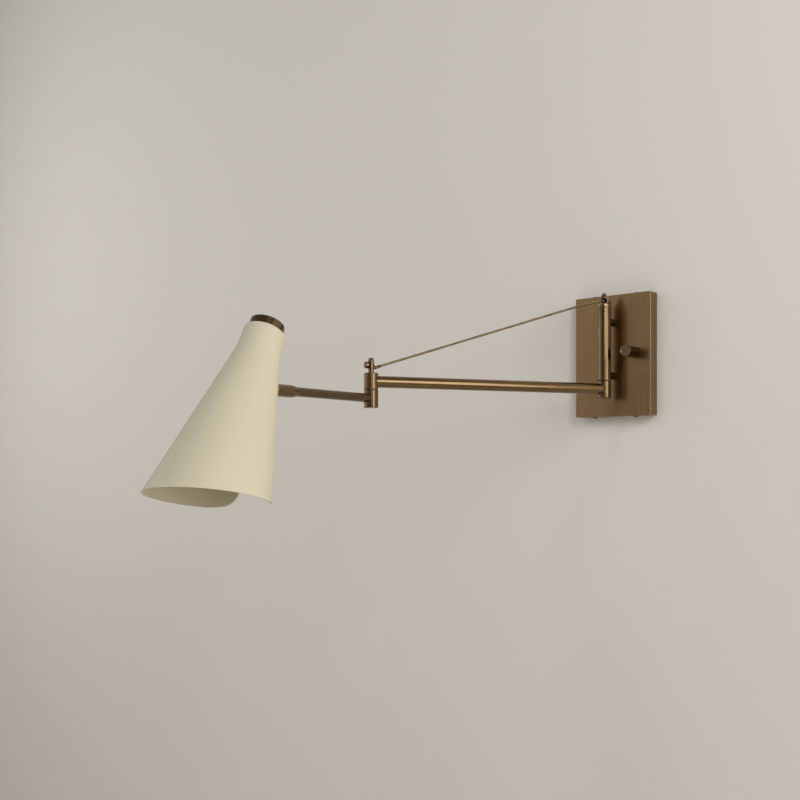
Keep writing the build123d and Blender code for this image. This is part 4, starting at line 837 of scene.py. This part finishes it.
# Lampholder: a brass cup over a glazed porcelain body, with a thin brass screw shell and contact.
# The nipple and its nuts hold the cup and the shade together.
GLAZE_DARK = colour(232, 230, 222)
GLAZE_LIGHT = colour(242, 241, 236)
SHELL_PRESSED = (3 * MM, 3 * MM, 0.2 * MM)
SHELL_DARK = colour(180, 148, 90)
SHELL_LIGHT = colour(216, 186, 120)
LAMP_NIPPLE_PITCH = 1 * MM
dress(antique("cup_brass", CAP_TURNED, turn=shade_turn, shine=0.3), "lampholder_cup")
glaze = Finish("porcelain", Coat_Weight=0.6, Coat_Roughness=0.06)
glaze_tone = glaze.noise(5 * MM)
glaze.set("Base Color", glaze.blend(glaze_tone, GLAZE_DARK, GLAZE_LIGHT))
glaze.set("Roughness", glaze_tone * 0.1 + 0.2)
dress(glaze.material, "lampholder_body")
shell_brass = antique("shell_brass", SHELL_PRESSED, turn=shade_turn, light=SHELL_LIGHT, dark=SHELL_DARK)
dress(shell_brass, "screw_shell", "centre_contact")
nipple_thread = zinc("nipple_thread", shade_turn, LAMP_NIPPLE_PITCH, tuple(shade_top))
dress(nipple_thread, "lamp_nipple", "lamp_lock_nuts")


# Bulb: a frosted glass globe over a nickel plated screw base. The base is turned into the lampholder's
# screw shell.
BASE_PITCH = 3.6 * MM
FROST_DARK = colour(236, 236, 232)
FROST_LIGHT = colour(246, 246, 243)
dress(zinc("base_nickel", shade_turn, BASE_PITCH, tuple(shade_top)), "bulb_base")
frost = Finish(
    "frosted_glass", Subsurface_Weight=0.15, Subsurface_Scale=0.01, Coat_Weight=0.15, Coat_Roughness=0.25
)
frost_tone = frost.noise(0.5 * MM, detail=3)
frost.set("Base Color", frost.blend(frost_tone, FROST_DARK, FROST_LIGHT))
frost.set("Roughness", frost_tone * 0.1 + 0.34)
dress(frost.material, "bulb_glass")


# Room: a pale painted wall behind the plate and a pale floor below, each seen from its front only. The
# wall has a hole behind the plate, as for an outlet box. Soft lights stand at the right and the left.
CLOUD = 300 * MM


def pane(name, corners, faces, tone):
    """A painted surface of the room that is clear from behind."""
    mesh = bpy.data.meshes.new(name)
    mesh.from_pydata(corners, [], faces)
    made = bpy.data.objects.new(name, mesh)
    scene.collection.objects.link(made)
    paint = Finish(name + "_paint", Roughness=0.9, Specular_IOR_Level=0.2)
    cloud = paint.noise(CLOUD)
    paint.set("Base Color", paint.blend(cloud, tone, tuple(part * 1.01 for part in tone[:3]) + (1,)))
    back = paint.node("ShaderNodeNewGeometry", out="Backfacing")
    clear = paint.node("ShaderNodeBsdfTransparent")
    front = Amount(paint, paint.shader.outputs[0])
    shown = paint.node("ShaderNodeMixShader", {}, {0: back, 1: front, 2: clear})
    paint.tree.links.new(shown.socket, paint.tree.nodes["Material Output"].inputs["Surface"])
    mesh.materials.append(paint.material)


WALL_Y = 0.2 * MM
FLOOR = -1.3
PALE = colour(238, 233, 225)
CEILING = 3
ROOM_HALF = 4
ROOM_DEPTH = 5
HOLE_HALF = 55 * MM
HOLE_HALF_HEIGHT = 80 * MM
sides = ((-1, -1), (1, -1), (1, 1), (-1, 1))
wall_corners = [(x * ROOM_HALF, WALL_Y, CEILING if z > 0 else FLOOR) for x, z in sides]
hole_corners = [(x * HOLE_HALF, WALL_Y, z * HOLE_HALF_HEIGHT) for x, z in sides]
wall_faces = [(k, (k + 1) % 4, 4 + (k + 1) % 4, 4 + k) for k in range(4)]
pane("wall", wall_corners + hole_corners, wall_faces, PALE)
floor_corners = [(x * ROOM_HALF, WALL_Y if y > 0 else -ROOM_DEPTH, FLOOR) for x, y in sides]
pane("floor", floor_corners, [(0, 1, 2, 3)], PALE)


def soft_light(name, spot, target, width, height, power):
    """A rectangular lamp of this size, in metres, and power, in watts, turned to the target."""
    lamp = bpy.data.lights.new(name, "AREA")
    lamp.shape = "RECTANGLE"
    lamp.size = width
    lamp.size_y = height
    lamp.energy = power
    made = bpy.data.objects.new(name, lamp)
    scene.collection.objects.link(made)
    made.location = spot
    made.rotation_euler = (Vector(target) - Vector(spot)).to_track_quat("-Z", "Y").to_euler()


LAMP_MIDDLE = (-0.05, -0.2, -0.05)
PAST_SHADE = (-0.16, -1.9, -0.1)
POST_HEAD = (-0.05, -0.2, 0)
SKY = (0.9, 0.88, 0.85, 1)
SKY_STRENGTH = 0.22
soft_light("front_light", (1.3, -1.35, 0.75), LAMP_MIDDLE, 0.5, 1.1, 11.5)
soft_light("side_light", (2.165, -0.625, 0.34), PAST_SHADE, 1.05, 1.62, 22.5)
soft_light("left_light", (-1.7, -0.73, 0.3), LAMP_MIDDLE, 0.18, 1.0, 3)
soft_light("fill_light", (-1.6, -2.0, 0.5), LAMP_MIDDLE, 1.5, 1.8, 6)
soft_light("glint_light", (-0.6, -2.1, 1.15), POST_HEAD, 0.4, 0.4, 3)

world = bpy.data.worlds.new("studio")
scene.world = world
world.use_nodes = True
sky = world.node_tree.nodes["Background"]
sky.inputs["Color"].default_value = SKY
sky.inputs["Strength"].default_value = SKY_STRENGTH
